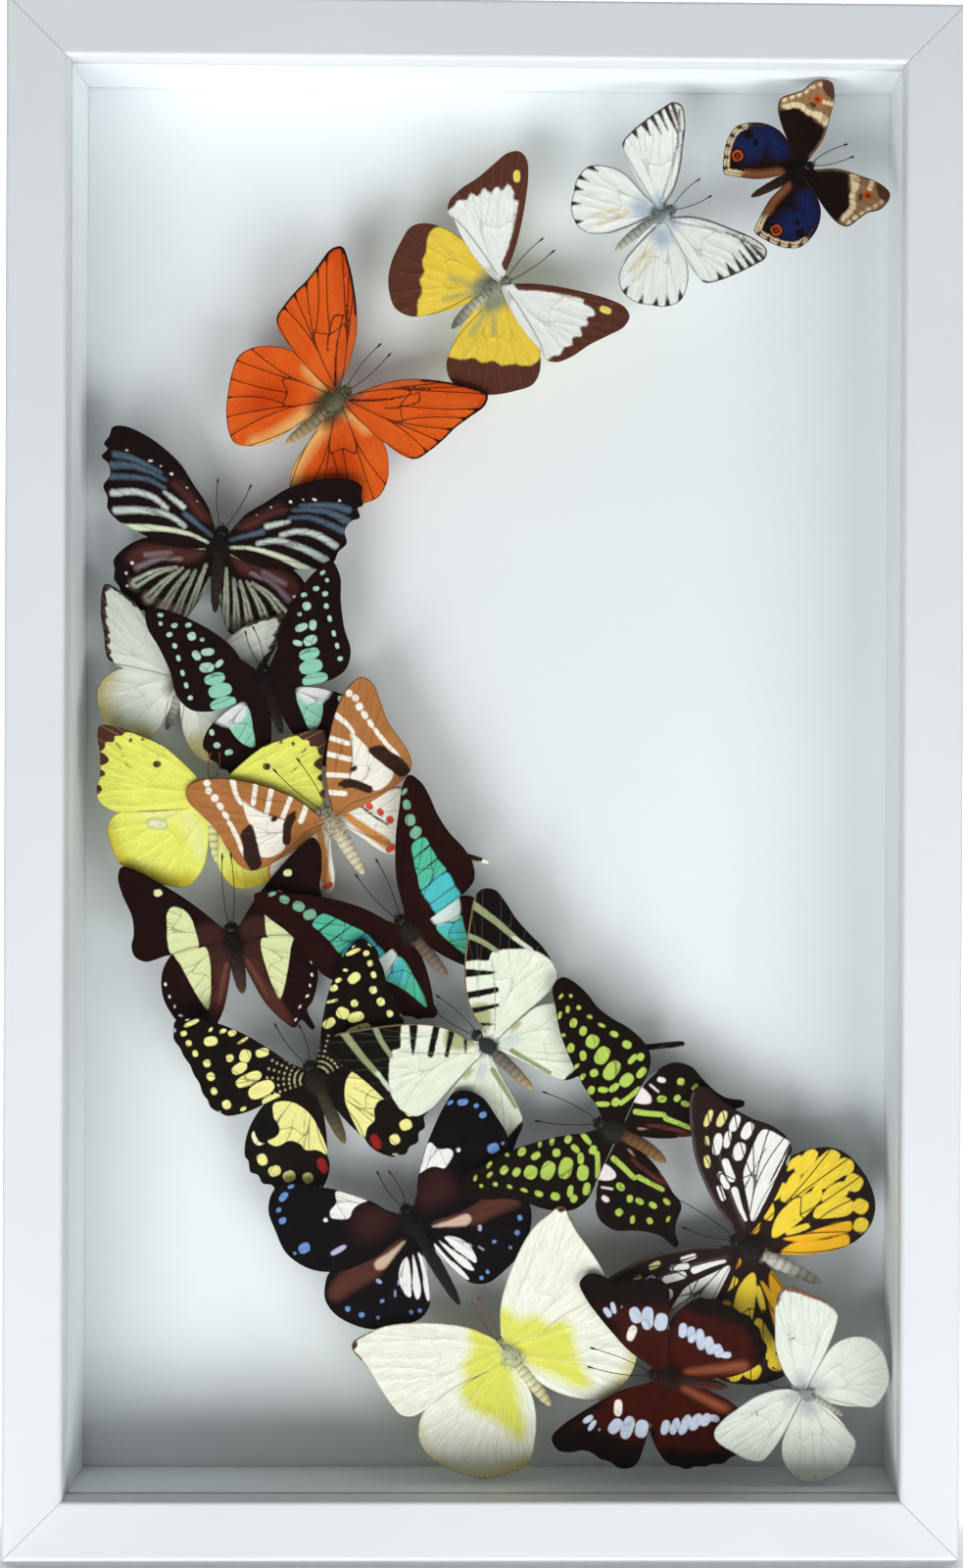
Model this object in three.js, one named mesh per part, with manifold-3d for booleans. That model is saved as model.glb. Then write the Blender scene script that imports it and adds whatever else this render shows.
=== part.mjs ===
// A wall shadow box of white painted wood with nineteen set butterflies pinned inside, in millimetres.
// +Z is up, the glass faces -Y, and the origin is under the middle of the box at its base.

import * as THREE from "three";
import { mergeVertices } from "three/addons/utils/BufferGeometryUtils.js";
import Module from "manifold-3d";

const wasm = await Module();
wasm.setup();

// Box
const BOX_WIDTH = 350;
const BOX_HEIGHT = 570;
const BOX_DEPTH = 60;
const RAIL_WIDTH = 22;
const RAIL_EDGE_RADIUS = 1.6;
const RAIL_EDGE_STEPS = 3;
const LIP_DEPTH = 10;
const RABBET_WIDTH = 5.5;
const MITRE_GAP = 0.2;
const FIT_GAP = 0.3;

// Sheets, counted from the front face of the box
const GLASS_THICKNESS = 2;
const BACKING_FRONT = 48;
const BACKING_THICKNESS = 5;
const PANEL_THICKNESS = 3;
const GLASS_FRONT = LIP_DEPTH + FIT_GAP;
const LINER_FRONT = GLASS_FRONT + GLASS_THICKNESS + FIT_GAP;
const LINER_DEPTH = BACKING_FRONT - FIT_GAP - LINER_FRONT;
const LINER_THICKNESS = RABBET_WIDTH - FIT_GAP;
const PANEL_FRONT = BACKING_FRONT + BACKING_THICKNESS + FIT_GAP;
const PANEL_BACK = PANEL_FRONT + PANEL_THICKNESS;
const OPENING_WIDTH = BOX_WIDTH - 2 * RAIL_WIDTH;
const OPENING_HEIGHT = BOX_HEIGHT - 2 * RAIL_WIDTH;
const SHEET_WIDTH = OPENING_WIDTH + 2 * (RABBET_WIDTH - FIT_GAP);
const SHEET_HEIGHT = OPENING_HEIGHT + 2 * (RABBET_WIDTH - FIT_GAP);

// Steel tabs that hold the back panel in the rabbet
const POINT_THICKNESS = 0.6;
const POINT_WIDTH = 8;
const POINT_LENGTH = 14;
const POINT_IN_RAIL = 5;
const POINT_PLACES = { top: [-80, 80], bottom: [-80, 80], left: [-140, 140], right: [-140, 140] };

// Sawtooth hanger on the back panel
const HANGER_WIDTH = 45;
const HANGER_HEIGHT = 10;
const HANGER_THICKNESS = 0.8;
const HANGER_RISE = 1.4;
const HANGER_FOOT = 6;
const HANGER_TEETH = 10;
const HANGER_TOOTH = 2.4;
const HANGER_BELOW_TOP = 55;

// Specimens
const WING_THICKNESS = 0.5;
const WING_STAGGER = 0.35;
const WING_ROOT = 0.5;
const OUTLINE_SCALE = 1.014;
const BODY_SIDES = 6;
const BODY_DROP = 1.2;
const THORAX_BACK = -1.5;
const NECK_LENGTH = 4.5;
const FEELER_SIDES = 3;
const FEELER_RADIUS = 0.35;
const PIN_RADIUS = 0.35;
const PIN_SIDES = 4;
const PIN_DEPTH = 3;
const PIN_HOLE_RADIUS = 0.9;
const PIN_HOLE_DEPTH = 3.4;
const PIN_AHEAD = 1;

// One entry per butterfly. at is the middle of its thorax from the centre of the opening, and heading is
// the turn of its head clockwise from straight up. lift is its height above the backing, rise its slope
// towards the head and towards its right wing, and spread the slope of each wing up from the body.
// fore and hind are the right wings from the body's axis, from the root round the leading edge and back.
// turns are degrees towards the tail for the left forewing and hindwing, then for the right ones, and
// foreSize is the size of the left and right forewings, where these aren't as drawn.
const SPECIMENS = [
  {
    name: "butterfly_pansy",
    color: 0x2a2f63,
    at: [115.8, 227.9],
    heading: 62,
    lift: 26,
    rise: [0, 0],
    spread: 0.05,
    girth: 2.2,
    head: 6,
    tail: [0, -20],
    feelers: [[-0.5, 20.5], [4.5, 20.5]],
    fore: [[2, 5], [6, 13], [18, 24], [23, 25.5], [25.5, 23], [26.5, 19], [25.5, 15], [26.5, 6],
      [24, 3.5], [19, 2], [2, 0]],
    hind: [[3, 1], [9, 1.5], [16, 0.5], [21, -3], [24, -8], [25, -13], [22.5, -18], [18, -22], [12, -25],
      [7, -19], [4, -14], [2, -8]],
  },
  {
    name: "butterfly_white_vein",
    color: 0xe9ebe4,
    at: [64.3, 211.3],
    heading: 59,
    lift: 24,
    rise: [0, 0],
    spread: 0.05,
    turns: [0, 8, 0, 0],
    girth: 2.4,
    head: 6,
    tail: [2.5, -21],
    feelers: [[-4.3, 19.5], [3.2, 20]],
    fore: [[2.5, 3], [5.7, 9], [10.7, 14.5], [24.7, 25], [30.5, 27], [33.2, 25], [33.4, 20], [31.7, 6],
      [29.5, 1], [22, 0], [3, 0]],
    hind: [[3.7, 1], [20.7, -1], [26.7, -4.5], [30.7, -10], [29.7, -16], [22.7, -24.5], [16.7, -26.5],
      [11.7, -25], [7.7, -20], [4.7, -12], [2.7, -4]],
  },
  {
    name: "butterfly_brown_yellow",
    color: 0xd8c27a,
    at: [1.9, 184.3],
    heading: 56,
    lift: 19,
    rise: [0, 0],
    spread: 0.05,
    turns: [0, 8, 0, 0],
    girth: 2.6,
    head: 7,
    tail: [3.5, -21],
    feelers: [[-5.5, 26], [0.5, 27]],
    fore: [[2.5, 7], [11.5, 19], [26.5, 33], [32.5, 36.5], [36.5, 36], [38.5, 32], [37, 18], [37, 10],
      [35.5, 4], [32.5, 1.5], [26.5, 3], [13.5, 4], [3.5, 4]],
    hind: [[4.5, 4.5], [11.5, 5], [21.5, 3.5], [29.5, 1], [35.5, -3.5], [37.5, -8], [36, -14],
      [32.5, -22], [27.5, -28], [19.5, -32], [13.5, -30], [9.5, -25], [6.5, -18], [4, -8]],
  },
  {
    name: "butterfly_orange",
    color: 0xe8430f,
    at: [-58.6, 140.6],
    heading: 45,
    lift: 19,
    rise: [0.026, 0],
    spread: 0.056,
    girth: 2.8,
    head: 9,
    tail: [-2, -22],
    feelers: [[-3, 29], [2, 29]],
    fore: [[3, 8], [7, 17], [12, 25], [18, 31], [25, 36.5], [32, 41], [38, 43.5], [40.3, 40], [38.5, 26],
      [37.8, 13], [36.5, 8], [33, 5.5], [25, 4], [14, 3], [4, 3]],
    hind: [[4, 3], [15, 4], [24, 3.5], [31, -1], [35, -6], [36.5, -12], [34, -18], [25, -30], [19, -34.5],
      [15, -35.5], [11, -33], [7, -28], [4.5, -20], [3, -10]],
  },
  {
    name: "butterfly_zebra",
    color: 0x2b221f,
    at: [-100.4, 88],
    heading: 8,
    lift: 16.3,
    rise: [0.17, 0],
    spread: 0.05,
    turns: [0, -5, 10, 2],
    girth: 2.8,
    head: 7,
    tail: [1, -25],
    feelers: [[-3.7, 24], [8.7, 23.6]],
    fore: [[2, 4], [6, 13], [18, 27], [25, 32], [32, 35.5], [40, 37.5], [44, 36.5], [46.5, 30],
      [45, 28.5], [46.8, 25.5], [44, 23], [43, 19], [45, 15], [43, 11], [42.5, 7], [38, 3], [20, -3],
      [8, -3], [2, -2]],
    hind: [[4, -3], [25, -3], [32, -7], [37, -14], [36.5, -19], [33, -25], [25, -30], [16, -32.5],
      [10, -32.5], [6, -28], [2, -10]],
  },
  {
    name: "butterfly_white_under",
    color: 0xdfe3d6,
    at: [-115.5, 37],
    heading: 10,
    lift: 13.9,
    rise: [0, -0.014],
    spread: 0.05,
    girth: 2.3,
    head: 6,
    tail: [-2, -19],
    feelers: [[-4, 15], [3, 15]],
    fore: [[2, 3], [9, 12], [20.7, 24.7], [27, 28.5], [33.4, 30.2], [33.2, 20.1], [27, 2.7], [3, 1]],
    hind: [[3, 1], [19.8, 1.6], [27.3, -3.4], [29.5, -9.7], [26.6, -17.4], [24, -21.6], [17, -28],
      [10, -26], [4, -18], [3, -8]],
  },
  {
    name: "butterfly_jay",
    color: 0x2a2320,
    at: [-82.4, 36.6],
    heading: -15,
    lift: 20,
    rise: [0.17, 0],
    spread: 0.05,
    girth: 2.6,
    head: 7,
    tail: [0, -20],
    feelers: [[-2.5, 20], [0.5, 21]],
    fore: [[2, 3], [5.5, 6], [8.5, 15], [13.5, 22], [24.5, 32], [31.5, 36], [35, 36.5], [36.5, 30],
      [34.5, 22], [33, 12], [33, 3], [29.5, -3], [22.5, -5.5], [13, -5], [4, -3]],
    hind: [[4, -3], [14, -5.5], [20, -8], [26, -12], [29, -17], [27.5, -23], [23, -29], [17, -34],
      [12, -36], [9, -32], [5, -14], [2, -6]],
  },
  {
    name: "butterfly_lemon_yellow",
    color: 0xe6ea6a,
    at: [-102.8, -7.2],
    heading: 1,
    lift: 19,
    rise: [0.063, -0.1],
    spread: 0.05,
    girth: 2.6,
    head: 7,
    tail: [2, -24],
    feelers: [[-0.5, 17], [2.5, 17]],
    fore: [[3.5, 6], [10.5, 13], [18.5, 19.5], [26.5, 23], [34.5, 25.5], [40.5, 26], [41.5, 23],
      [40.5, 15], [40.5, 7], [41.5, 3], [40.5, -2], [34.5, -5.5], [8.5, -4]],
    hind: [[3, -3], [34, -6], [37.5, -11], [36.5, -17], [33.5, -24], [27.5, -29], [18.5, -32], [9, -33],
      [4, -28], [1.5, -21], [1, -12]],
  },
  {
    name: "butterfly_swordtail",
    color: 0xa8703f,
    at: [-57.4, -16.6],
    heading: -31,
    lift: 19,
    rise: [0.084, 0.038],
    spread: 0.05,
    turns: [3, 0, 0, 0],
    girth: 3,
    head: 7,
    tail: [0, -22],
    feelers: [[-8.5, 29], [1, 28]],
    fore: [[2.5, 5], [5.5, 14], [11, 23], [17, 30], [23.5, 36], [31, 40.5], [37, 41], [39.5, 37],
      [37, 22], [37.5, 7], [35, 2.5], [28.5, 0.5], [9, 3], [3, 2]],
    hind: [[3, 3], [13.5, 3.5], [28.5, -1], [31, -7], [30, -14], [28, -20], [27.6, -23.5], [42.5, -41.4],
      [42, -42.4], [25.5, -25.5], [20, -25], [14, -22], [10, -18], [2.5, -2]],
  },
  {
    name: "butterfly_nawab",
    color: 0x2a1512,
    at: [-94.6, -60.7],
    heading: -9,
    lift: 19,
    rise: [0.124, 0],
    spread: 0.05,
    girth: 3.2,
    head: 7,
    tail: [0, -20],
    feelers: [[1.5, 33], [4.5, 33]],
    fore: [[3.5, 6], [16.5, 20], [30, 31], [35.5, 33.5], [37.5, 30], [37, 23], [35, 15], [35.5, 8],
      [37, 4], [36.5, 0], [33, -2.5], [15, 0], [4, 0]],
    hind: [[4, -1], [14, -1], [22, -4], [27.5, -9], [29, -16], [27.5, -22], [25, -27], [22.8, -29.5],
      [24.5, -36.8], [23.3, -37.2], [20, -33], [17, -35.5], [13, -32], [8, -25], [2, -8]],
  },
  {
    name: "butterfly_bluebottle",
    color: 0x2f7f7d,
    at: [-28.3, -57.3],
    heading: -39,
    lift: 19,
    rise: [0.149, 0],
    spread: 0.05,
    turns: [-2, 0, 0, 0],
    girth: 3,
    head: 8,
    tail: [0, -22],
    feelers: [[-1.9, 30], [7.6, 29.7]],
    fore: [[3.4, 7.8], [8, 17.6], [13.4, 25.3], [19.8, 32.5], [32.5, 44.3], [36.6, 45.6], [38.3, 41],
      [37.5, 35], [35.6, 28.1], [34.7, 20.1], [35.2, 12.1], [34.4, 6.1], [31.1, 0.8], [26, -0.9],
      [4, -0.2]],
    hind: [[4, 0], [14, 0], [24, -1.5], [27, -6], [26, -13], [23, -20], [19, -26], [14, -30], [11, -30],
      [8, -14], [4, -6]],
  },
  {
    name: "butterfly_lime",
    color: 0x3c3726,
    at: [-63.5, -113.1],
    heading: -24,
    lift: 19,
    rise: [0.107, 0],
    spread: 0.05,
    girth: 3.2,
    head: 8,
    tail: [0, -26],
    feelers: [[-5, 26], [2.9, 22]],
    fore: [[3, 4], [7, 12], [12.5, 21], [18.5, 29], [25, 35.5], [32, 40.5], [37.5, 41.5], [40.5, 37],
      [39, 7], [35.5, 2], [28.5, 0], [5, 0]],
    hind: [[4, -1], [15, -2], [23.5, -4], [30.5, -8], [35, -14], [36, -20], [33.5, -27], [28, -34],
      [22, -38], [16, -38.5], [11, -35], [8, -30], [7.5, -20], [5, -10]],
  },
  {
    name: "butterfly_fivebar",
    color: 0xc9cfb8,
    at: [0.7, -99.5],
    heading: -45,
    lift: 19,
    rise: [0.143, 0],
    spread: 0.05,
    girth: 2.8,
    head: 7,
    tail: [0, -24],
    feelers: [[-4.5, 24], [0, 27]],
    fore: [[3, 4], [4.5, 12], [8, 19], [14, 26], [29, 38], [36, 42.5], [40, 42.5], [43, 39], [42.5, 33],
      [41, 26], [40.5, 12], [39, 5], [37, 0], [31, -2], [7, -1]],
    hind: [[4, -1], [15, -1.5], [24, -3], [30, -8], [33, -16], [33, -24], [31.5, -30], [41, -41],
      [52.4, -51.4], [51.6, -52.4], [39.6, -42.4], [28, -34], [22, -35], [11, -30], [8, -24], [2, -5]],
  },
  {
    name: "butterfly_magpie",
    color: 0x231a1d,
    at: [-27.1, -165.9],
    heading: -28,
    lift: 19,
    rise: [0.017, 0],
    spread: 0.055,
    girth: 3,
    head: 7,
    tail: [1, -36],
    feelers: [[-2.8, 23], [1.1, 21]],
    fore: [[4.2, 3.8], [8.8, 12.5], [15.2, 20.1], [30, 32.3], [36.2, 35.4], [41, 33.6], [44.8, 28.4],
      [46.3, 12.8], [44.6, 7.7], [41, 2.4], [35.2, -1.9], [27.3, -4.4], [17.3, -5], [5, -2.7]],
    hind: [[5, -3], [20, -3], [35.2, -1.9], [39.4, -5.7], [41.7, -10.5], [41, -16.6], [37.4, -22.8],
      [31.7, -28.2], [23, -31.7], [14, -33.2], [8.8, -30.5], [5.4, -23.7], [2.8, -13.9]],
  },
  {
    name: "butterfly_tailed_jay",
    color: 0x4a4a2a,
    at: [48.5, -131.3],
    heading: -65,
    lift: 19,
    rise: [0.093, 0],
    spread: 0.064,
    girth: 3.2,
    head: 8,
    tail: [-3, -23],
    feelers: [[-9, 28.5], [2, 30.5]],
    fore: [[4, 6], [8, 14], [13, 21], [25, 34], [39, 43.5], [43.5, 42], [44, 38], [42, 31], [39, 25],
      [37.5, 18], [37, 12], [35, 5], [32, 0.5], [27, -2], [5, -2]],
    hind: [[5, -2], [17, -2], [25, -4], [32, -9], [33.5, -16], [29, -28], [28.5, -33], [30, -39.5],
      [28.4, -40.2], [25.5, -37.5], [22, -36], [15, -35], [12, -30], [9, -22], [6, -10], [3, -4]],
  },
  {
    name: "butterfly_tiger",
    color: 0xb8a24a,
    at: [101.7, -176.5],
    heading: -62,
    lift: 19,
    rise: [0, 0.014],
    spread: 0.05,
    turns: [3, 0, 0, 0],
    girth: 3.2,
    head: 10,
    tail: [1, -28],
    feelers: [[-5, 28], [3.3, 37]],
    fore: [[3, 10], [7, 19], [13, 28], [20, 36], [28, 42], [36, 47], [42, 48.5], [45, 46], [43, 32],
      [43, 24], [44, 17], [43, 10], [40, 6], [35, 5], [22, 6.5], [10, 6], [4, 5]],
    hind: [[5, 5], [17, 7], [29, 7], [37, 5], [43, 0], [47, -6], [48, -12], [46, -19], [42, -26],
      [36, -31.5], [29, -33.5], [22, -32], [16, -28], [10, -21], [5, -13], [2.5, -7]],
  },
  {
    name: "butterfly_pale_yellow",
    color: 0xeef0c8,
    at: [10.9, -216.3],
    heading: -38,
    lift: 22,
    rise: [0, 0],
    spread: 0.053,
    turns: [0, 0, 9, 0],
    girth: 3,
    head: 9,
    tail: [0, -23],
    feelers: [[1, 26], [3.5, 26]],
    fore: [[1, 10], [6, 19], [13, 26.5], [21, 33], [29, 38], [37, 40.5], [43, 41], [44.5, 39], [44, 30],
      [45.5, 14], [45, 9], [42, 6], [37, 5], [25, 5], [10, 2]],
    hind: [[10, 2], [37, 5], [44, 0], [46.5, -6], [45, -14], [41, -22], [35, -29], [27, -33], [20, -34.5],
      [12, -29], [5, -20], [2, -12], [2, -6]],
  },
  {
    name: "butterfly_white_band",
    color: 0x4a1d12,
    at: [69.6, -222.9],
    heading: -80,
    lift: 25.9,
    rise: [0, 0],
    spread: 0.05,
    girth: 2.8,
    head: 8,
    tail: [0, -22],
    feelers: [[-1.1, 31], [5.9, 31.2]],
    fore: [[3, 7], [7, 16], [13, 24], [24, 36], [29, 39], [33, 36], [33, 31], [31.5, 27], [32, 23],
      [33.5, 20], [34, 16], [35.5, 13], [35, 9], [33, 6.5], [27, 5], [18, 4], [5, 1]],
    hind: [[5, 0], [18, 1.5], [26, 0], [31, -5], [32, -11], [27, -26], [20, -32], [15, -34], [10, -31],
      [5, -24], [1.5, -13]],
  },
  {
    name: "butterfly_small_white",
    color: 0xe4e7da,
    at: [119.9, -228.4],
    heading: -63,
    lift: 26.5,
    rise: [0, 0],
    spread: 0.075,
    foreSize: [0.91, 1],
    girth: 2.2,
    head: 6,
    tail: [-1, -17],
    feelers: [[-3, 15], [3, 15]],
    fore: [[1, 6], [4, 11], [10, 17], [24, 24.5], [30, 25.5], [33, 23], [34, 15], [34, 8], [32, 3],
      [26, 1], [15, 0], [3, 0]],
    hind: [[3, 0], [20, -1], [26, -5], [29, -11], [28, -17], [24, -22], [18, -26], [12, -26.5], [7, -25],
      [4, -17], [2, -8]],
  },
];

const radians = THREE.MathUtils.degToRad;
const clamp = THREE.MathUtils.clamp;

function yAtDepth(depth) {
  return depth - BOX_DEPTH / 2;
}

// Solids pass between three.js geometry and the boolean library as merged, closed triangle meshes.
function toSolid(geometry) {
  const bare = geometry.clone();
  bare.deleteAttribute("normal");
  bare.deleteAttribute("uv");
  const merged = mergeVertices(bare, 1e-5);
  const corners = merged.index.array;
  const kept = [];
  for (let i = 0; i < corners.length; i += 3) {
    const [a, b, c] = [corners[i], corners[i + 1], corners[i + 2]];
    if (a !== b && b !== c && c !== a) {
      kept.push(a, b, c);
    }
  }
  return new wasm.Manifold(new wasm.Mesh({
    numProp: 3,
    vertProperties: Float32Array.from(merged.attributes.position.array),
    triVerts: Uint32Array.from(kept),
  }));
}

function toGeometry(solid) {
  const mesh = solid.getMesh();
  const geometry = new THREE.BufferGeometry();
  geometry.setAttribute("position", new THREE.BufferAttribute(Float32Array.from(mesh.vertProperties), 3));
  geometry.setIndex(Array.from(mesh.triVerts));
  geometry.computeVertexNormals();
  return geometry;
}

function movePoints(geometry, move) {
  const places = geometry.attributes.position;
  const point = new THREE.Vector3();
  for (let i = 0; i < places.count; i += 1) {
    point.fromBufferAttribute(places, i);
    move(point);
    places.setXYZ(i, point.x, point.y, point.z);
  }
  return geometry;
}

function material(color, roughness, metalness = 0) {
  return new THREE.MeshStandardMaterial({ color, roughness, metalness });
}

const paintedWood = material(0xeceef0, 0.45);
const clearGlass = new THREE.MeshStandardMaterial({
  color: 0xeef4f1,
  roughness: 0.05,
  metalness: 0,
  transparent: true,
  opacity: 0.25,
});
const whiteBoard = material(0xe9ebee, 0.8);
const hardboard = material(0x7a5a3c, 0.8);
const steel = material(0xb9bcc0, 0.35, 1);

function named(name, geometry, finish) {
  const mesh = new THREE.Mesh(geometry, finish);
  mesh.name = name;
  return mesh;
}

// The rail's section, with x as the depth from the front face and y as minus the distance from the
// outer edge. Its front edges are rounded, and behind the lip the rabbet is cut back.
function railSection() {
  const section = new THREE.Shape();
  const inner = -RAIL_WIDTH;
  const r = RAIL_EDGE_RADIUS;
  section.moveTo(BOX_DEPTH, 0);
  section.lineTo(BOX_DEPTH, inner + RABBET_WIDTH);
  section.lineTo(LIP_DEPTH, inner + RABBET_WIDTH);
  section.lineTo(LIP_DEPTH, inner);
  section.lineTo(r, inner);
  section.absarc(r, inner + r, r, -Math.PI / 2, -Math.PI, true);
  section.lineTo(0, -r);
  section.absarc(r, -r, r, Math.PI, Math.PI / 2, true);
  section.closePath();
  return section;
}

// A mitred rail along X, hanging below z = 0, with its slots for the steel tabs.
function rail(length, pointPlaces) {
  const bar = new THREE.ExtrudeGeometry(railSection(), {
    depth: 1,
    steps: 1,
    bevelEnabled: false,
    curveSegments: RAIL_EDGE_STEPS,
  });
  movePoints(bar, (p) => {
    const end = p.z > 0.5 ? 1 : -1;
    const along = length / 2 + p.y - MITRE_GAP / 2;
    p.set(end * along, yAtDepth(p.x), p.y);
  });
  let solid = toSolid(bar);
  for (const place of pointPlaces) {
    const slot = new THREE.BoxGeometry(
      POINT_WIDTH + 2 * FIT_GAP,
      POINT_THICKNESS + 2 * FIT_GAP,
      2 * (POINT_IN_RAIL + FIT_GAP),
    );
    slot.translate(place, yAtDepth(PANEL_BACK + FIT_GAP + POINT_THICKNESS / 2), RABBET_WIDTH - RAIL_WIDTH);
    solid = solid.subtract(toSolid(slot));
  }
  return toGeometry(solid);
}

// Each side is a group turned about Y, so that its rail lies along the group's own X.
function frameSide(side) {
  const turns = { top: 0, right: 90, bottom: 180, left: -90 };
  const upright = side === "left" || side === "right";
  const group = new THREE.Group();
  group.rotation.y = radians(turns[side]);
  const reach = (upright ? BOX_WIDTH : BOX_HEIGHT) / 2;
  const outward = new THREE.Vector3(0, 0, reach).applyEuler(group.rotation);
  group.position.copy(outward).add(new THREE.Vector3(0, 0, BOX_HEIGHT / 2));
  group.add(named(`frame_${side}`, rail(upright ? BOX_HEIGHT : BOX_WIDTH, POINT_PLACES[side]), paintedWood));
  POINT_PLACES[side].forEach((place, index) => {
    const tab = named(
      `framer_point_${side}_${index + 1}`,
      new THREE.BoxGeometry(POINT_WIDTH, POINT_THICKNESS, POINT_LENGTH),
      steel,
    );
    const down = RAIL_WIDTH - RABBET_WIDTH - POINT_IN_RAIL + POINT_LENGTH / 2;
    tab.position.set(place, yAtDepth(PANEL_BACK + FIT_GAP + POINT_THICKNESS / 2), -down);
    group.add(tab);
  });
  return group;
}

function sheet(name, thickness, front, finish) {
  const mesh = named(name, new THREE.BoxGeometry(SHEET_WIDTH, thickness, SHEET_HEIGHT), finish);
  mesh.position.set(0, yAtDepth(front + thickness / 2), BOX_HEIGHT / 2);
  return mesh;
}

// The backing board has a blind hole behind each pin.
function backingBoard() {
  let board = toSolid(new THREE.BoxGeometry(SHEET_WIDTH, BACKING_THICKNESS, SHEET_HEIGHT));
  for (const specimen of SPECIMENS) {
    const hole = new THREE.CylinderGeometry(PIN_HOLE_RADIUS, PIN_HOLE_RADIUS, 2 * PIN_HOLE_DEPTH, PIN_SIDES);
    const turn = radians(specimen.heading);
    hole.translate(
      specimen.at[0] + PIN_AHEAD * Math.sin(turn),
      -BACKING_THICKNESS / 2,
      specimen.at[1] + PIN_AHEAD * Math.cos(turn),
    );
    board = board.subtract(toSolid(hole));
  }
  const mesh = named("backing_board", toGeometry(board), whiteBoard);
  mesh.position.set(0, yAtDepth(BACKING_FRONT + BACKING_THICKNESS / 2), BOX_HEIGHT / 2);
  return mesh;
}

// Boards along the inside walls. The upright ones stand between the other two.
function liners() {
  const group = new THREE.Group();
  group.position.set(0, yAtDepth(LINER_FRONT + LINER_DEPTH / 2), BOX_HEIGHT / 2);
  const across = (OPENING_WIDTH + LINER_THICKNESS) / 2;
  const up = (OPENING_HEIGHT + LINER_THICKNESS) / 2;
  for (const [name, side] of [["liner_top", 1], ["liner_bottom", -1]]) {
    const board = named(name, new THREE.BoxGeometry(SHEET_WIDTH, LINER_DEPTH, LINER_THICKNESS), whiteBoard);
    board.position.z = side * up;
    group.add(board);
  }
  for (const [name, side] of [["liner_left", -1], ["liner_right", 1]]) {
    const height = OPENING_HEIGHT - 2 * FIT_GAP;
    const board = named(name, new THREE.BoxGeometry(LINER_THICKNESS, LINER_DEPTH, height), whiteBoard);
    board.position.x = side * across;
    group.add(board);
  }
  return group;
}

// A steel strip with a toothed lower edge, joggled off the panel on two feet.
function sawtoothHanger() {
  const strip = new THREE.Shape();
  const half = HANGER_WIDTH / 2;
  const toothed = HANGER_TEETH * HANGER_TOOTH / 2;
  strip.moveTo(half, 0);
  strip.lineTo(half, HANGER_HEIGHT);
  strip.lineTo(-half, HANGER_HEIGHT);
  strip.lineTo(-half, 0);
  strip.lineTo(-toothed, 0);
  for (let i = 0; i < HANGER_TEETH; i += 1) {
    const left = -toothed + i * HANGER_TOOTH;
    strip.lineTo(left + HANGER_TOOTH / 2, HANGER_TOOTH / 2);
    strip.lineTo(left + HANGER_TOOTH, 0);
  }
  strip.closePath();
  const plate = new THREE.ExtrudeGeometry(strip, { depth: HANGER_THICKNESS, bevelEnabled: false });
  plate.rotateX(Math.PI / 2);
  plate.translate(0, HANGER_RISE + HANGER_THICKNESS, 0);
  let solid = toSolid(plate);
  for (const side of [-1, 1]) {
    const foot = new THREE.BoxGeometry(HANGER_FOOT, HANGER_RISE + HANGER_THICKNESS / 2, HANGER_HEIGHT);
    foot.translate(
      side * (HANGER_WIDTH - HANGER_FOOT) / 2,
      (HANGER_RISE + HANGER_THICKNESS / 2) / 2,
      HANGER_HEIGHT / 2,
    );
    solid = solid.add(toSolid(foot));
  }
  const mesh = named("sawtooth_hanger", toGeometry(solid), steel);
  mesh.position.set(0, yAtDepth(PANEL_BACK + FIT_GAP), BOX_HEIGHT - HANGER_BELOW_TOP);
  return mesh;
}

// Specimen frame: x towards its right wing, y towards its head, z towards the glass, with the backing's
// face at z = 0.
function wing(outline, side, stagger, specimen, turned, size) {
  const turn = side * radians(-turned);
  const front = clamp(outline[0][1], THORAX_BACK + 1, specimen.head - NECK_LENGTH);
  const back = clamp(outline.at(-1)[1], THORAX_BACK, front - 1);
  const root = new THREE.Vector2(side * WING_ROOT, front);
  const rootEnd = new THREE.Vector2(side * WING_ROOT, back);
  const edge = outline.map(([x, y]) => {
    const point = new THREE.Vector2(side * x, y).rotateAround(root, turn);
    return point.sub(root).multiplyScalar(size).add(root);
  });
  const plate = new THREE.ExtrudeGeometry(new THREE.Shape([root, ...edge, rootEnd]), {
    depth: WING_THICKNESS,
    bevelEnabled: false,
  });
  plate.translate(0, 0, stagger - WING_THICKNESS / 2);
  return movePoints(plate, (p) => {
    p.z += specimen.spread * Math.abs(p.x);
  });
}

// Head, thorax and abdomen turned about the body's axis, with the abdomen bent towards its tip.
function body(specimen) {
  const { girth, head, tail } = specimen;
  const [bend, end] = tail;
  const profile = [
    [0, end],
    [0.4, end + 1.2],
    [0.68, 0.5 * end],
    [0.5, -5],
    [1, THORAX_BACK],
    [1, head - NECK_LENGTH],
    [0.5, head - 2.2],
    [0.6, head - 1],
    [0, head],
  ];
  const turned = new THREE.LatheGeometry(
    profile.map(([radius, along]) => new THREE.Vector2(radius * girth, along)),
    BODY_SIDES,
  );
  return movePoints(turned, (p) => {
    p.x += p.y < 0 ? bend * (p.y / end) ** 2 : 0;
    p.z -= BODY_DROP;
  });
}

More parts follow.
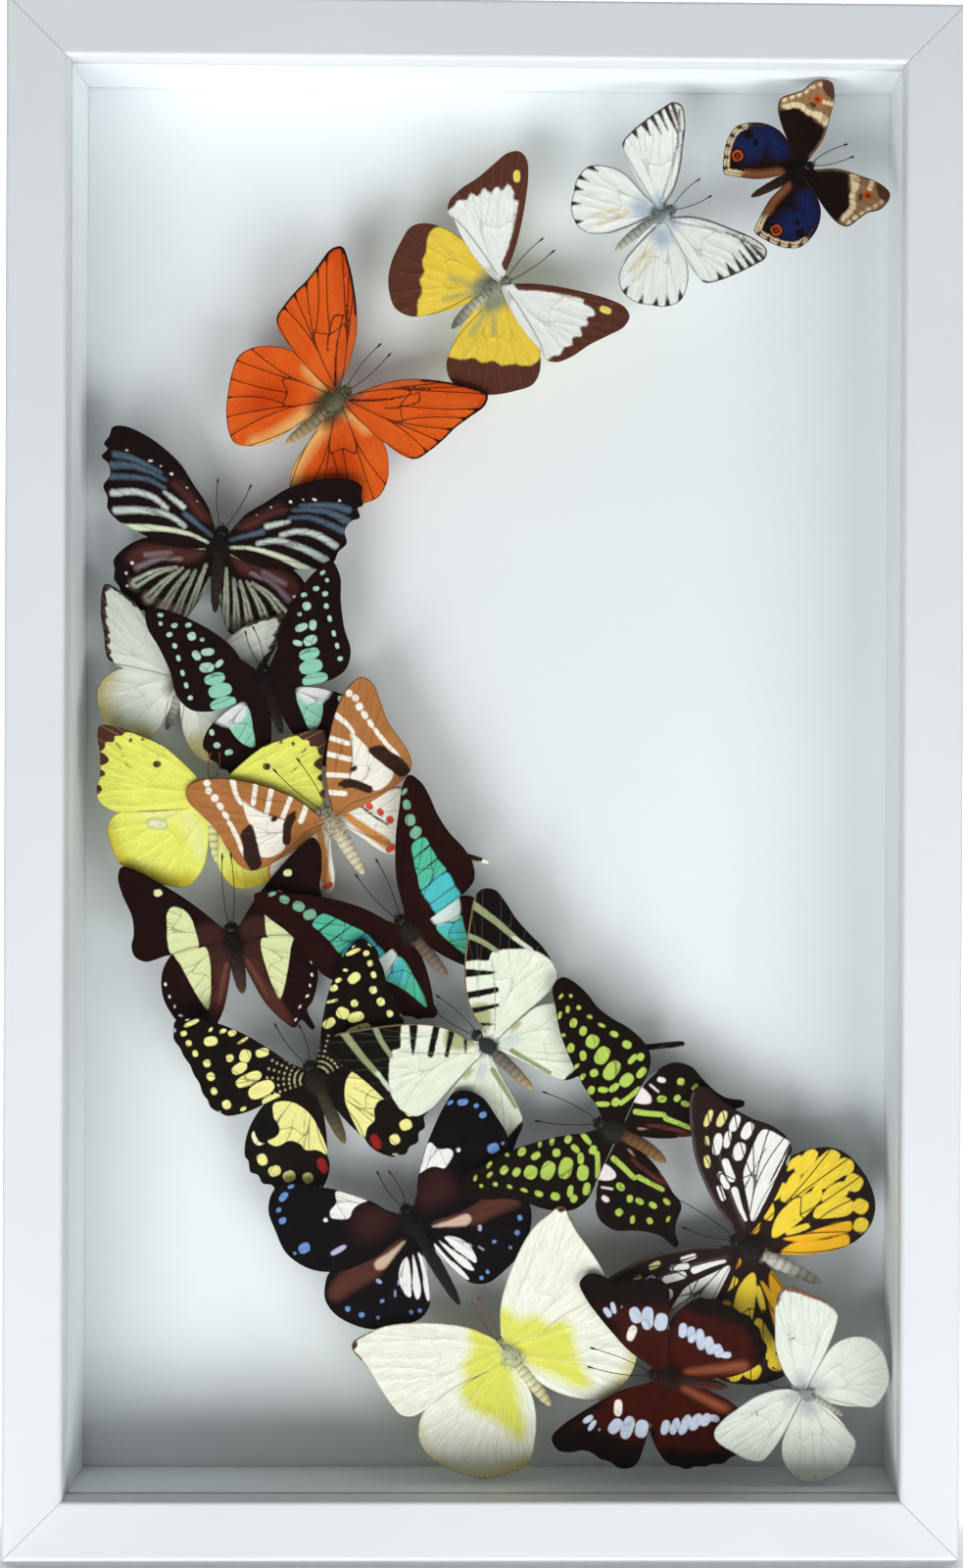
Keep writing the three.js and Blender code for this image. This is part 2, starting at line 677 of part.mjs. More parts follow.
// A clubbed antenna from the head to its tip.
function feeler(specimen, tip, side) {
  const foot = new THREE.Vector3(0.25 * side * specimen.girth, specimen.head - 1, -BODY_DROP);
  const top = new THREE.Vector3(tip[0], tip[1], 0);
  const length = foot.distanceTo(top);
  const stalk = new THREE.LatheGeometry(
    [[0, 0], [0.9, 0], [0.9, 0.86 * length], [1.7, 0.95 * length], [0, length]]
      .map(([radius, along]) => new THREE.Vector2(radius * FEELER_RADIUS, along)),
    FEELER_SIDES,
  );
  const aim = new THREE.Quaternion().setFromUnitVectors(
    new THREE.Vector3(0, 1, 0),
    top.clone().sub(foot).normalize(),
  );
  stalk.applyQuaternion(aim);
  return stalk.translate(foot.x, foot.y, foot.z);
}

function butterfly(specimen) {
  const turns = specimen.turns ?? [0, 0, 0, 0];
  const foreSize = specimen.foreSize ?? [1, 1];
  const pieces = [body(specimen)];
  const [leftTip, rightTip] = specimen.feelers;
  pieces.push(feeler(specimen, leftTip, -1), feeler(specimen, rightTip, 1));
  for (const side of [-1, 1]) {
    const half = side < 0 ? 0 : 1;
    pieces.push(wing(specimen.fore, side, WING_STAGGER, specimen, turns[2 * half], foreSize[half]));
    pieces.push(wing(specimen.hind, side, -WING_STAGGER, specimen, turns[2 * half + 1], 1));
  }
  const [towardsHead, towardsRight] = specimen.rise;
  let solid = null;
  for (const piece of pieces) {
    piece.scale(OUTLINE_SCALE, OUTLINE_SCALE, 1);
    movePoints(piece, (p) => {
      p.z += specimen.lift + towardsHead * p.y + towardsRight * p.x;
    });
    solid = solid ? solid.add(toSolid(piece)) : toSolid(piece);
  }
  const pinLength = PIN_DEPTH + specimen.lift - BODY_DROP;
  const pin = new THREE.CylinderGeometry(PIN_RADIUS, PIN_RADIUS, pinLength, PIN_SIDES);
  pin.rotateX(Math.PI / 2);
  pin.translate(0, PIN_AHEAD, pinLength / 2 - PIN_DEPTH);
  solid = solid.add(toSolid(pin));
  const mesh = named(specimen.name, toGeometry(solid), material(specimen.color, 0.75));
  mesh.position.set(specimen.at[0], yAtDepth(BACKING_FRONT), BOX_HEIGHT / 2 + specimen.at[1]);
  mesh.rotation.set(Math.PI / 2, radians(specimen.heading), 0, "YXZ");
  return mesh;
}

const shadowBox = new THREE.Group();
for (const side of ["top", "bottom", "left", "right"]) {
  shadowBox.add(frameSide(side));
}
shadowBox.add(sheet("glass", GLASS_THICKNESS, GLASS_FRONT, clearGlass));
shadowBox.add(liners());
shadowBox.add(backingBoard());
shadowBox.add(sheet("back_panel", PANEL_THICKNESS, PANEL_FRONT, hardboard));
shadowBox.add(sawtoothHanger());
for (const specimen of SPECIMENS) {
  shadowBox.add(butterfly(specimen));
}

export default shadowBox;
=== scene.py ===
"""Looks of the shadow box: white painted frame, pane, boards and nineteen set butterflies."""

import math
import random

import bpy
import numpy as np
from mathutils import Matrix, Vector
from mathutils.geometry import delaunay_2d_cdt


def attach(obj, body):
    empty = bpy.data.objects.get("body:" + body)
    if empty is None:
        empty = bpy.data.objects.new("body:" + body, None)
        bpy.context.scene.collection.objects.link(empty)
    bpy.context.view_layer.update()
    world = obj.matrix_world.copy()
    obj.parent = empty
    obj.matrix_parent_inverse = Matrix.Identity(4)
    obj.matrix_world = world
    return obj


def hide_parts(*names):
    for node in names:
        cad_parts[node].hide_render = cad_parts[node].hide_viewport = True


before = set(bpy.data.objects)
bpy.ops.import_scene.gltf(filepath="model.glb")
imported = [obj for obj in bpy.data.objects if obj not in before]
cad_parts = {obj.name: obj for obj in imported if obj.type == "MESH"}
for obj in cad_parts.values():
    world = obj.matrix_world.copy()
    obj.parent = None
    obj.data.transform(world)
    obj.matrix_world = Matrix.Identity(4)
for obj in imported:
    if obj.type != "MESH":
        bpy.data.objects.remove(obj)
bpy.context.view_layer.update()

# The specimens are drawn in millimetres, as in the solids: x to the right wing, y to the head, z to the glass
MM = 0.001
BOX_FRONT = -30.0
BACKING_Y = 18.0
CENTRE_Z = 285.0
OUTLINE_SCALE = 1.014
WING_ROOT = 0.5
WING_STAGGER = 0.35
BODY_DROP = 1.2
STOUTNESS = 1.18
THORAX_BACK = -1.5
NECK_LENGTH = 4.5
PIN_AHEAD = 1.0
PIN_DEPTH = 3.0
PIN_RADIUS = 0.3
PIN_SIDES = 10
BODY_SIDES = 18
BELLY_RINGS = 8

# Wing sheets: the spacing of their points, their thickness, and their raised veins
WING_STEP = 0.62
UNDER_STEP = 3.0
MEMBRANE = 0.22
VEIN_RISE = 0.13
VEIN_HALF_WIDTH = 0.42
CELL_REACH = 0.52
FORE_VEIN_ENDS = (-0.42, -0.2, 0.0, 0.17, 0.34, 0.52, 0.7, 0.87)
HIND_VEIN_ENDS = (0.02, 0.2, 0.38, 0.56, 0.74, 0.92)

# Markings: the distance that counts as nowhere near, the ink on undersides, and the shape of an oval
FAR = 30.0
UNDER_INK = 0.4
OVAL_POWER = 2.5
MARK_STEP = 0.8


# Curves and distances


def smooth(points, step, closed=False):
    """A centripetal spline through the points, as points about a step apart."""
    p = np.asarray(points, float)
    if closed:
        p = np.vstack([p[-1:], p, p[:2]])
    else:
        p = np.vstack([2 * p[:1] - p[1:2], p, 2 * p[-1:] - p[-2:-1]])
    out = []
    for a, b, c, d in zip(p[:-3], p[1:-2], p[2:-1], p[3:]):
        t1 = np.linalg.norm(b - a) ** 0.5
        t2 = t1 + np.linalg.norm(c - b) ** 0.5
        t3 = t2 + np.linalg.norm(d - c) ** 0.5
        count = max(1, round(float(np.linalg.norm(c - b)) / step))
        t = np.linspace(t1, t2, count, endpoint=False)[:, None]
        ab = ((t1 - t) * a + t * b) / t1
        bc = ((t2 - t) * b + (t - t1) * c) / (t2 - t1)
        cd = ((t3 - t) * c + (t - t2) * d) / (t3 - t2)
        abc = ((t2 - t) * ab + t * bc) / t2
        bcd = ((t3 - t) * bc + (t - t1) * cd) / (t3 - t1)
        out.append(((t2 - t) * abc + (t - t1) * bcd) / (t2 - t1))
    if not closed:
        out.append(p[-2:-1])
    return np.vstack(out)


def arc_lengths(path):
    """How far along a path each of its points is."""
    return np.concatenate([[0], np.cumsum(np.linalg.norm(np.diff(path, axis=0), axis=1))])


def along(path, lengths, at):
    """The places on a path that are the given lengths along it."""
    return np.array([np.interp(at, lengths, path[:, k]) for k in (0, 1)]).T


def resample(path, step):
    lengths = arc_lengths(path)
    count = max(1, round(lengths[-1] / step))
    return along(path, lengths, np.linspace(0, lengths[-1], count + 1))


def path_distance(points, path):
    """Each point's distance to a path, and how far along the path its nearest place is, from 0 to 1."""
    a = path[:-1]
    ab = path[1:] - a
    length = np.linalg.norm(ab, axis=1) + 1e-9
    off = points[:, None, :] - a
    t = np.clip((off * ab).sum(-1) / length**2, 0, 1)
    gap = np.linalg.norm(off - t[..., None] * ab, axis=-1)
    nearest = gap.argmin(1)
    rows = np.arange(len(points))
    before = np.concatenate([[0], np.cumsum(length)])
    place = before[nearest] + t[rows, nearest] * length[nearest]
    return gap[rows, nearest], place / before[-1]


def inside(points, loop):
    """Which points lie inside a closed loop."""
    a, b = loop, np.roll(loop, -1, axis=0)
    y = points[:, 1, None]
    crosses = (a[:, 1] > y) != (b[:, 1] > y)
    rise = np.where(b[:, 1] == a[:, 1], 1e-9, b[:, 1] - a[:, 1])
    x = a[:, 0] + (y - a[:, 1]) / rise * (b[:, 0] - a[:, 0])
    return (crosses & (points[:, 0, None] < x)).sum(1) % 2 == 1


def turned(points, degrees, about):
    c, s = math.cos(math.radians(degrees)), math.sin(math.radians(degrees))
    return (np.asarray(points, float) - about) @ np.array([[c, s], [-s, c]]) + about


def bend(start, lean, end, count=10):
    """A curve that leaves start towards lean and comes to end."""
    t = np.linspace(0, 1, count)[:, None]
    return (1 - t) ** 2 * start + 2 * t * (1 - t) * lean + t**2 * end


def leave(path, share):
    """A point on a path, and the direction that the path has there."""
    i = int(np.clip(share, 0.05, 1) * (len(path) - 1))
    return path[i], path[i] - path[max(0, i - 2)]


# Wings


class Wing:
    """A wing as drawn on the right side: its outline, its veins, and the margin between apex and tail."""

    def __init__(self, points, hind, root, root_end, depth):
        self.hind = hind
        self.root = np.array(root)
        self.line = smooth(points, WING_STEP)
        self.lengths = arc_lengths(self.line)
        self.loop = np.vstack([[root], self.line, [root_end]])
        tips = np.asarray(points, float)
        self.margin_span = [self.lengths[self.nearest(tips[i])] for i in self.corners(tips)]
        self.margin = self.between(*self.margin_span, 0.1)
        self.centre = self.margin.mean(0)
        self.veins, self.ends = self.venation()
        if depth:
            self.scallop(depth)

    def nearest(self, point):
        return np.linalg.norm(self.line - point, axis=1).argmin()

    def between(self, start, end, slack):
        return self.line[(self.lengths >= start - slack) & (self.lengths <= end + slack)]

    def at(self, length):
        return along(self.line, self.lengths, length)

    def corners(self, tips):
        """Which outline points are the apex and the hind corner of the margin."""
        if self.hind:
            first = int(np.argmax(tips @ [1.0, 0.55]))
            last = int(np.argmin(tips @ [0.45, 1.0]))
            return first, max(last, first + 2)
        far = np.linalg.norm(tips - self.root, axis=1)
        far[: len(tips) // 5] = 0
        first = int(np.argmax(far + 0.15 * tips[:, 1]))
        chord = tips[-1] - tips[first]
        off = np.abs((tips - tips[first]) @ [chord[1], -chord[0]])
        off[: first + 1] = 0
        return first, int(np.argmax(off))

    def venation(self):
        """Veins as paths: a closed cell from the root, and branches from it to the margin."""
        first, last = self.margin_span
        span = last - first
        ends = [self.at(first + share * span) for share in (HIND_VEIN_ENDS if self.hind else FORE_VEIN_ENDS)]
        axis = self.at(first + (0.45 if self.hind else 0.3) * span) - self.root
        side = np.array([-axis[1], axis[0]]) * 0.11
        top = self.root + CELL_REACH * axis + side
        low = self.root + CELL_REACH * 0.94 * axis - side
        lean = self.root + 0.45 * axis
        upper = bend(self.root, lean + 1.5 * side, top)
        lower = bend(self.root, lean - 1.5 * side, low)
        notch = (top + low) / 2 - 0.05 * axis
        veins = [upper, lower, np.array([top, notch, low])]
        for k, end in enumerate(ends):
            share = k / (len(ends) - 1)
            if share < 0.4:
                start, forward = leave(upper, min(1.0, 0.5 + 1.3 * share))
            elif share < 0.55:
                start, forward = notch, axis
            else:
                start, forward = leave(lower, 1.0 - (share - 0.6) * 1.35)
            forward = forward / (np.linalg.norm(forward) + 1e-9)
            veins.append(bend(start, start + 0.42 * np.linalg.norm(end - start) * forward, end, 14))
        inner = self.at(last + (0.12 if self.hind else 0.02) * span)
        veins.append(bend(self.root, self.root + 0.4 * (inner - self.root) - 1.2 * side, inner, 14))
        return veins, ends + [inner]

    def scallop(self, depth):
        """Draws the margin in a little between the vein ends."""
        first, last = self.margin_span
        tips = sorted(self.lengths[self.nearest(end)] for end in self.ends)
        place = np.interp(self.lengths, tips, np.arange(len(tips)))
        pull = depth * np.sin(np.pi * (place % 1.0)) ** 2
        pull *= (self.lengths > first - 1) & (self.lengths < last + 1)
        towards = self.root - self.line
        towards /= np.linalg.norm(towards, axis=1)[:, None] + 1e-9
        self.line = self.line + pull[:, None] * towards
        self.loop = np.vstack([self.loop[:1], self.line, self.loop[-1:]])
        self.margin = self.between(first, last, 0.1)

    def stretch(self, start, end):
        """The outline from one share of its length to another."""
        return self.between(start * self.lengths[-1], end * self.lengths[-1], 0.4)

    def measure(self, points, seat):
        """What the markings are drawn from: distances to the edge, the margin and the veins."""
        self.points = points
        self.drawn = turned(points - np.array(seat[:2]), seat[2], (0, 0))
        self.edge = path_distance(points, self.line)[0]
        self.margin_gap, self.margin_place = path_distance(points, self.margin)
        gaps = np.array([path_distance(points, vein)[0] for vein in self.veins])
        self.vein = gaps.min(0)
        self.branch = gaps[3:].min(0)


# Markings. Each gives, for every point of a wing, its distance outside the mark, in millimetres.


def oval_gap(points, ovals):
    """Distances outside slightly boxy ovals given as x, y, width, height and turn in degrees."""
    best = np.full(len(points), FAR)
    for x, y, width, *rest in ovals:
        height = rest[0] if rest else width
        turn = math.radians(rest[1]) if len(rest) > 1 else 0.0
        off = points - (x, y)
        u = (off[:, 0] * math.cos(turn) + off[:, 1] * math.sin(turn)) / (width / 2)
        v = (off[:, 1] * math.cos(turn) - off[:, 0] * math.sin(turn)) / (height / 2)
        k = (np.abs(u) ** OVAL_POWER + np.abs(v) ** OVAL_POWER) ** (1 / OVAL_POWER) + 1e-9
        slope = np.sqrt((u / (width / 2)) ** 2 + (v / (height / 2)) ** 2) / k + 1e-9
        best = np.minimum(best, (k - 1) / slope)
    return best


def spots(*ovals):
    """Ovals given as x, y, width, height and turn in degrees."""
    return lambda wing: oval_gap(wing.drawn, ovals)


def line(width, *points, end=None):
    """A soft-ended stroke whose width runs from width to end."""

    def gap(wing):
        path = smooth(points, MARK_STEP) if len(points) > 2 else np.asarray(points, float)
        away, place = path_distance(wing.drawn, path)
        last = width if end is None else end
        return away - (width + (last - width) * place) / 2

    return gap


def patch(*points):
    """A smooth closed patch."""

    def gap(wing):
        loop = smooth(points, MARK_STEP, closed=True)
        away = path_distance(wing.drawn, np.vstack([loop, loop[:1]]))[0]
        return np.where(inside(wing.drawn, loop), -away, away)

    return gap


def border(width, end=None, tooth=0.0):
    """A band along the outer margin, toothed between the veins."""

    def gap(wing):
        last = width if end is None else end
        wide = width + (last - width) * wing.margin_place
        return wing.margin_gap - wide - tooth * np.clip(1.6 - wing.branch, -1.2, 1.6) / 1.6

    return gap


def hem(width, start=0.0, end=1.0):
    """A band along any stretch of the outline."""
    return lambda wing: path_distance(wing.points, wing.stretch(start, end))[0] - width


def lunules(inset, length, width):
    """One oval between each two vein ends, along the margin."""

    def gap(wing):
        ovals = []
        for a, b in zip(wing.ends[1:-1], wing.ends[2:]):
            middle = (a + b) / 2
            inward = wing.centre * 0.3 + wing.root * 0.7 - middle
            middle = middle + inward / np.linalg.norm(inward) * inset
            ovals.append((*middle, length, width, math.degrees(math.atan2(b[1] - a[1], b[0] - a[0]))))
        return oval_gap(wing.points, ovals)

    return gap


def vein_ends(width, length):
    """Wedges that narrow inwards along each vein from the margin."""

    def gap(wing):
        share = np.clip(1 - wing.margin_gap / length, 0, 1)
        return wing.branch - width * share + 2.0 * (share <= 0)

    return gap


def grown(by, *marks):
    """Marks made wider all round."""
    return lambda wing: np.min([mark(wing) for mark in marks], axis=0) - by


def without(mark, other):
    """A mark with another cut out of it."""
    return lambda wing: np.maximum(mark(wing), -other(wing))


def both(mark, other):
    """Where two marks meet."""
    return lambda wing: np.maximum(mark(wing), other(wing))


# Meshes


class Soup:
    """Collects vertices, faces, material numbers and values for one mesh."""

    def __init__(self):
        self.points = []
        self.faces = []
        self.kinds = []
        self.values = {}
        self.count = 0

    def add(self, points, faces, kind, values):
        for key, value in values.items():
            self.values.setdefault(key, []).append((self.count, value))
        self.points.append(points)
        self.faces.extend(tuple(i + self.count for i in face) for face in faces)
        self.kinds.extend([kind] * len(faces))
        self.count += len(points)

    def build(self, name, materials, place):
        mesh = bpy.data.meshes.new(name)
        mesh.from_pydata(place(np.vstack(self.points)) * MM, [], self.faces)
        for material in materials:
            mesh.materials.append(material)
        mesh.polygons.foreach_set("material_index", np.array(self.kinds, np.int32))
        mesh.polygons.foreach_set("use_smooth", [True] * len(self.faces))
        for key, parts in self.values.items():
            flat = parts[0][1].ndim == 1
            kind, field = ("FLOAT", "value") if flat else ("FLOAT_VECTOR", "vector")
            data = np.full((self.count,) if flat else (self.count, 3), FAR if flat else 0.0, np.float32)
            for start, value in parts:
                data[start : start + len(value)] = value
            mesh.attributes.new(key, kind, "POINT").data.foreach_set(field, data.ravel())
        mesh.update()
        thing = bpy.data.objects.new(name, mesh)
        bpy.context.scene.collection.objects.link(thing)
        return thing


def hexagons(loop, step, clear):
    """Grid points inside a loop that stay clear of given paths."""
    low, high = loop.min(0), loop.max(0)
    grid = []
    for k, y in enumerate(np.arange(low[1], high[1], step * 0.866)):
        x = np.arange(low[0] + (k % 2) * step / 2, high[0], step)
        grid.append(np.column_stack([x, np.full(len(x), y)]))
    grid = np.vstack(grid)
    grid = grid[inside(grid, loop)]
    for path, gap in clear:
        grid = grid[path_distance(grid, path)[0] > gap]
    return grid


def fill(loop, paths, step):
    """Triangles that fill a loop, with the paths as edges."""
    ring = np.vstack([loop, loop[:1]])
    grid = hexagons(loop, step, [(ring, 0.6 * step)] + [(path, 0.55 * step) for path in paths])
    edges = []
    count = len(loop)
    for path in paths:
        edges += [(count + i, count + i + 1) for i in range(len(path) - 1)]
        count += len(path)
    flat = [Vector(p) for p in np.vstack([loop, *paths, grid])]
    found = delaunay_2d_cdt(flat, edges, [list(range(len(loop)))], 1, 1e-4)
    verts = np.array([tuple(v) for v in found[0]])
    faces = np.array([tuple(f) for f in found[2] if len(f) == 3])
    a, b, c = (verts[faces[:, k]] for k in range(3))
    area = (b[:, 0] - a[:, 0]) * (c[:, 1] - a[:, 1]) - (b[:, 1] - a[:, 1]) * (c[:, 0] - a[:, 0])
    faces[area < 0] = faces[area < 0][:, ::-1]
    return verts, faces


def boundary(faces):
    """The directed edges that only one triangle has."""
    edges = {}
    for a, b, c in faces:
        for edge in ((a, b), (b, c), (c, a)):
            edges[edge] = True
    return [edge for edge in edges if (edge[1], edge[0]) not in edges]


def add_wing(soup, specimen, wing, side, turn, size, inks, seed):
    """One wing as a closed sheet: a fine upper face with raised veins and a plain lower one."""
    rng = random.Random(seed)
    waves = [(rng.uniform(0.05, 0.12), rng.uniform(0, 6.3), rng.uniform(0, 6.3)) for _ in range(3)]

    def height(points):
        z = -0.00022 * np.linalg.norm(points - wing.root, axis=1) ** 2
        for pace, shift, lean in waves:
            z = z + 0.12 * np.sin(pace * (points @ [math.cos(lean), math.sin(lean)]) * 1.4 + shift)
        return z

    def lay(points, z):
        q = turned(points, -turn, wing.root)
        q = (q - wing.root) * size + wing.root
        x = side * q[:, 0] * OUTLINE_SCALE
        y = q[:, 1] * OUTLINE_SCALE
        up = specimen.rise[0] * y + specimen.rise[1] * x + specimen.spread * np.abs(x)
        up = up + specimen.lift + (-WING_STAGGER if wing.hind else WING_STAGGER)
        return np.column_stack([x, y, up + z])

    verts, faces = fill(wing.loop, [resample(vein, WING_STEP) for vein in wing.veins], WING_STEP)
    wing.measure(verts, specimen.seat)
    plain = height(verts)
    ridge = VEIN_RISE * np.exp(-((wing.vein / VEIN_HALF_WIDTH) ** 2))
    veined = plain + ridge - 0.1 * np.exp(-((wing.vein - 2.2) ** 2))
    top = lay(verts, plain + np.clip(wing.edge / 0.8, 0, 1) * (veined - plain))
    low_verts, low_faces = fill(wing.loop, [], UNDER_STEP)
    low = lay(low_verts, height(low_verts) - MEMBRANE)

    start = len(top)
    order = (0, 1, 2) if side > 0 else (2, 1, 0)
    all_faces = [tuple(f[k] for k in order) for f in faces]
    all_faces += [tuple(start + f[k] for k in order[::-1]) for f in low_faces]
    below = {tuple(np.round(p, 4)): start + i for i, p in enumerate(low_verts)}
    for a, b in boundary(faces):
        c, d = (below.get(tuple(np.round(verts[i], 4))) for i in (a, b))
        if c is not None and d is not None:
            all_faces.append((a, c, d, b) if side > 0 else (b, d, c, a))

    reach = verts - wing.root
    angle = np.arctan2(reach[:, 1], reach[:, 0])
    far = np.linalg.norm(reach, axis=1)
    ray = np.column_stack([26 * angle + 50 * seed, far, np.full(len(verts), 7.0 * seed)])
    values = {"vein": wing.vein, "rim": wing.edge, "ray": ray}
    nowhere = np.full(len(verts), FAR)
    for key, marks in inks.items():
        values[key] = np.min([mark(wing) for mark in marks] + [nowhere], axis=0)
    under = {"vein": FAR, "rim": FAR, "ray": 0.0}
    for key, value in values.items():
        pad = np.full((len(low),) + value.shape[1:], under.get(key, UNDER_INK))
        values[key] = np.concatenate([value, pad])
    soup.add(np.vstack([top, low]), all_faces, 0, values)


# Bodies


def linear(code):
    """A colour written as a hex code, as linear values."""
    channels = [int(code[i : i + 2], 16) / 255 for i in (0, 2, 4)]
    return [c / 12.92 if c <= 0.04045 else ((c + 0.055) / 1.055) ** 2.4 for c in channels]


def ring_tube(centres, radii, sides, squash=1.0):
    """A tube of rings round a path of 3-D points."""
    centres = np.asarray(centres, float)
    forward = np.gradient(centres, axis=0)
    forward /= np.linalg.norm(forward, axis=1)[:, None] + 1e-9
    across = np.cross(forward, [0, 0, 1.0])
    across /= np.linalg.norm(across, axis=1)[:, None] + 1e-9
    up = np.cross(across, forward)
    angles = np.linspace(0, 2 * np.pi, sides, endpoint=False)[:, None]
    points = []
    for c, r, a, u in zip(centres, radii, across, up):
        points.append(c + r * (np.cos(angles) * a + squash * np.sin(angles) * u))
    faces = []
    for k in range(0, (len(centres) - 1) * sides, sides):
        for i in range(sides):
            j = (i + 1) % sides
            faces.append((k + i, k + sides + i, k + sides + j, k + j))
    faces.append(tuple(range(sides)))
    faces.append(tuple(range((len(centres) - 1) * sides, len(centres) * sides))[::-1])
    return np.vstack(points), faces


def pin_tube(heights):
    """A straight round pin along z."""
    angles = np.linspace(0, 2 * np.pi, PIN_SIDES, endpoint=False)
    ring = PIN_RADIUS * np.column_stack([np.cos(angles), np.sin(angles), 0 * angles])
    points = np.vstack([ring + (0, PIN_AHEAD, z) for z in heights])
    n = PIN_SIDES
    faces = [(k + i, k + (i + 1) % n, k + n + (i + 1) % n, k + n + i) for k in (0, n) for i in range(n)]
    return points, faces + [tuple(range(n))[::-1], tuple(range(2 * n, 3 * n))]


def spine(specimen, y, drop=BODY_DROP):
    """Points on the body's axis at the given places along it."""
    y = np.asarray(y, float)
    bent, end = specimen.tail
    x = np.where(y < 0, bent * (y / end) ** 2, 0.0)
    return np.column_stack([x, y, np.full(len(y), -drop)])


def thorax(specimen):
    """Where the thorax begins and ends along the body."""
    return specimen.head - NECK_LENGTH + 1.2, THORAX_BACK - 2.2


def bulb(front, rear, count, half):
    """Places along a rounded part, and its swell at each."""
    y = np.linspace(front, rear, count)
    return y, np.sqrt(np.clip(1 - ((y - y.mean()) / half) ** 2, 0.01, 1))


def add_body(soup, specimen, rng):
    """Thorax, ringed abdomen, head with eyes and palps, and what is fixed to them."""
    girth, head = STOUTNESS * specimen.girth, specimen.head
    thorax_coat, belly_coat, tip_coat = (np.array(linear(code)) for code in specimen.coat)

    def put(points, faces, tone, kind=1):
        points = np.array(points)
        points[:, :2] *= OUTLINE_SCALE
        points[:, 2] += specimen.rise[0] * points[:, 1] + specimen.rise[1] * points[:, 0] + specimen.lift
        soup.add(points, faces, kind, {"tone": np.broadcast_to(tone, (len(points), 3))})

    front, rear = thorax(specimen)
    y = np.linspace(front, rear, 16)
    swell = np.sqrt(np.clip(1 - ((y - (front + rear) / 2) / ((front - rear) / 2)) ** 2, 0.0, 1)) ** 0.8
    put(*ring_tube(spine(specimen, y), 0.06 + girth * swell, BODY_SIDES, 0.9), thorax_coat)

    y = np.linspace(THORAX_BACK - 1.0, specimen.tail[1], 46)
    t = np.linspace(0, 1, len(y))
    shape = np.interp(t, [0, 0.08, 0.3, 0.6, 0.85, 0.97, 1], [0.45, 0.6, 0.72, 0.66, 0.5, 0.24, 0.05])
    groove = np.abs(np.cos(np.pi * BELLY_RINGS * t))
    tones = belly_coat + (tip_coat - belly_coat) * np.clip(t * 1.6 - 0.6, 0, 1)[:, None]
    tones = tones * (1 - 0.45 * groove**8)[:, None]
    belly = ring_tube(spine(specimen, y), girth * (shape - 0.035 * groove**6), BODY_SIDES, 0.9)
    put(*belly, np.repeat(tones, BODY_SIDES, axis=0))

    y, swell = bulb(head, head - 2.6, 9, 1.3)
    put(*ring_tube(spine(specimen, y), 0.55 * girth * swell, 14, 0.9), 0.6 * thorax_coat)
    y, swell = bulb(head - 0.2, head - 1.9, 8, 0.85)
    for side in (-1, 1):
        eye = spine(specimen, y, BODY_DROP - 0.15) + np.array([side * 0.42 * girth, 0, 0])
        put(*ring_tube(eye, 0.62 * swell, 12), (0.012, 0.008, 0.006))
        palp = [
            (side * 0.3, head - 0.6, -1.5),
            (side * 0.4, head + 0.5, -1.3),
            (side * 0.35, head + 1.3, -1.0),
        ]
        put(*ring_tube(palp, [0.3, 0.24, 0.04], 6), 0.8 * thorax_coat)
    add_feelers(put, specimen, linear(specimen.feeler_coat))
    add_legs(put, specimen, 0.5 * belly_coat)
    add_fur(put, specimen, rng, girth, thorax_coat, belly_coat)
    foot = -PIN_DEPTH - specimen.lift
    put(*pin_tube((foot, foot + 0.01, -BODY_DROP)), (0, 0, 0), 2)


def add_feelers(put, specimen, tone):
    """Two clubbed antennae, slightly bowed."""
    t = np.linspace(0, 1, 22)[:, None]
    radii = 0.15 + 0.26 * np.exp(-(((t[:, 0] - 0.95) / 0.045) ** 2))
    radii[-1] = 0.08
    for side, tip in zip((-1, 1), specimen.feelers):
        foot = np.array([0.28 * side * specimen.girth, specimen.head - 0.8, -BODY_DROP + 0.3])
        bow = np.array([side * 0.9, 0, 0.5])
        path = foot + t * (np.array([*tip, 0.0]) - foot) + np.sin(np.pi * t) * bow
        put(*ring_tube(path, radii, 6), tone)


def add_legs(put, specimen, tone):
    """Three pairs of legs folded under the thorax."""
    t = np.linspace(0, 1, 13)[:, None]
    for side in (-1, 1):
        for k, y in enumerate((2.2, 0.2, -1.4)):
            hip = np.array([side * 0.4 * specimen.girth, y, -BODY_DROP - 0.75 * specimen.girth])
            knee = hip + [side * 1.9, 0.8 - k, -1.3]
            shin = hip + [side * 0.6, -2.4 - 0.8 * k, -1.9]
            foot = hip + [side * 1.5, -5.0 - 0.8 * k, -1.6]
            path = (1 - t) ** 3 * hip + 3 * t * (1 - t) ** 2 * knee + 3 * t**2 * (1 - t) * shin + t**3 * foot
            put(*ring_tube(path, np.linspace(0.26, 0.09, 13), 5), tone)


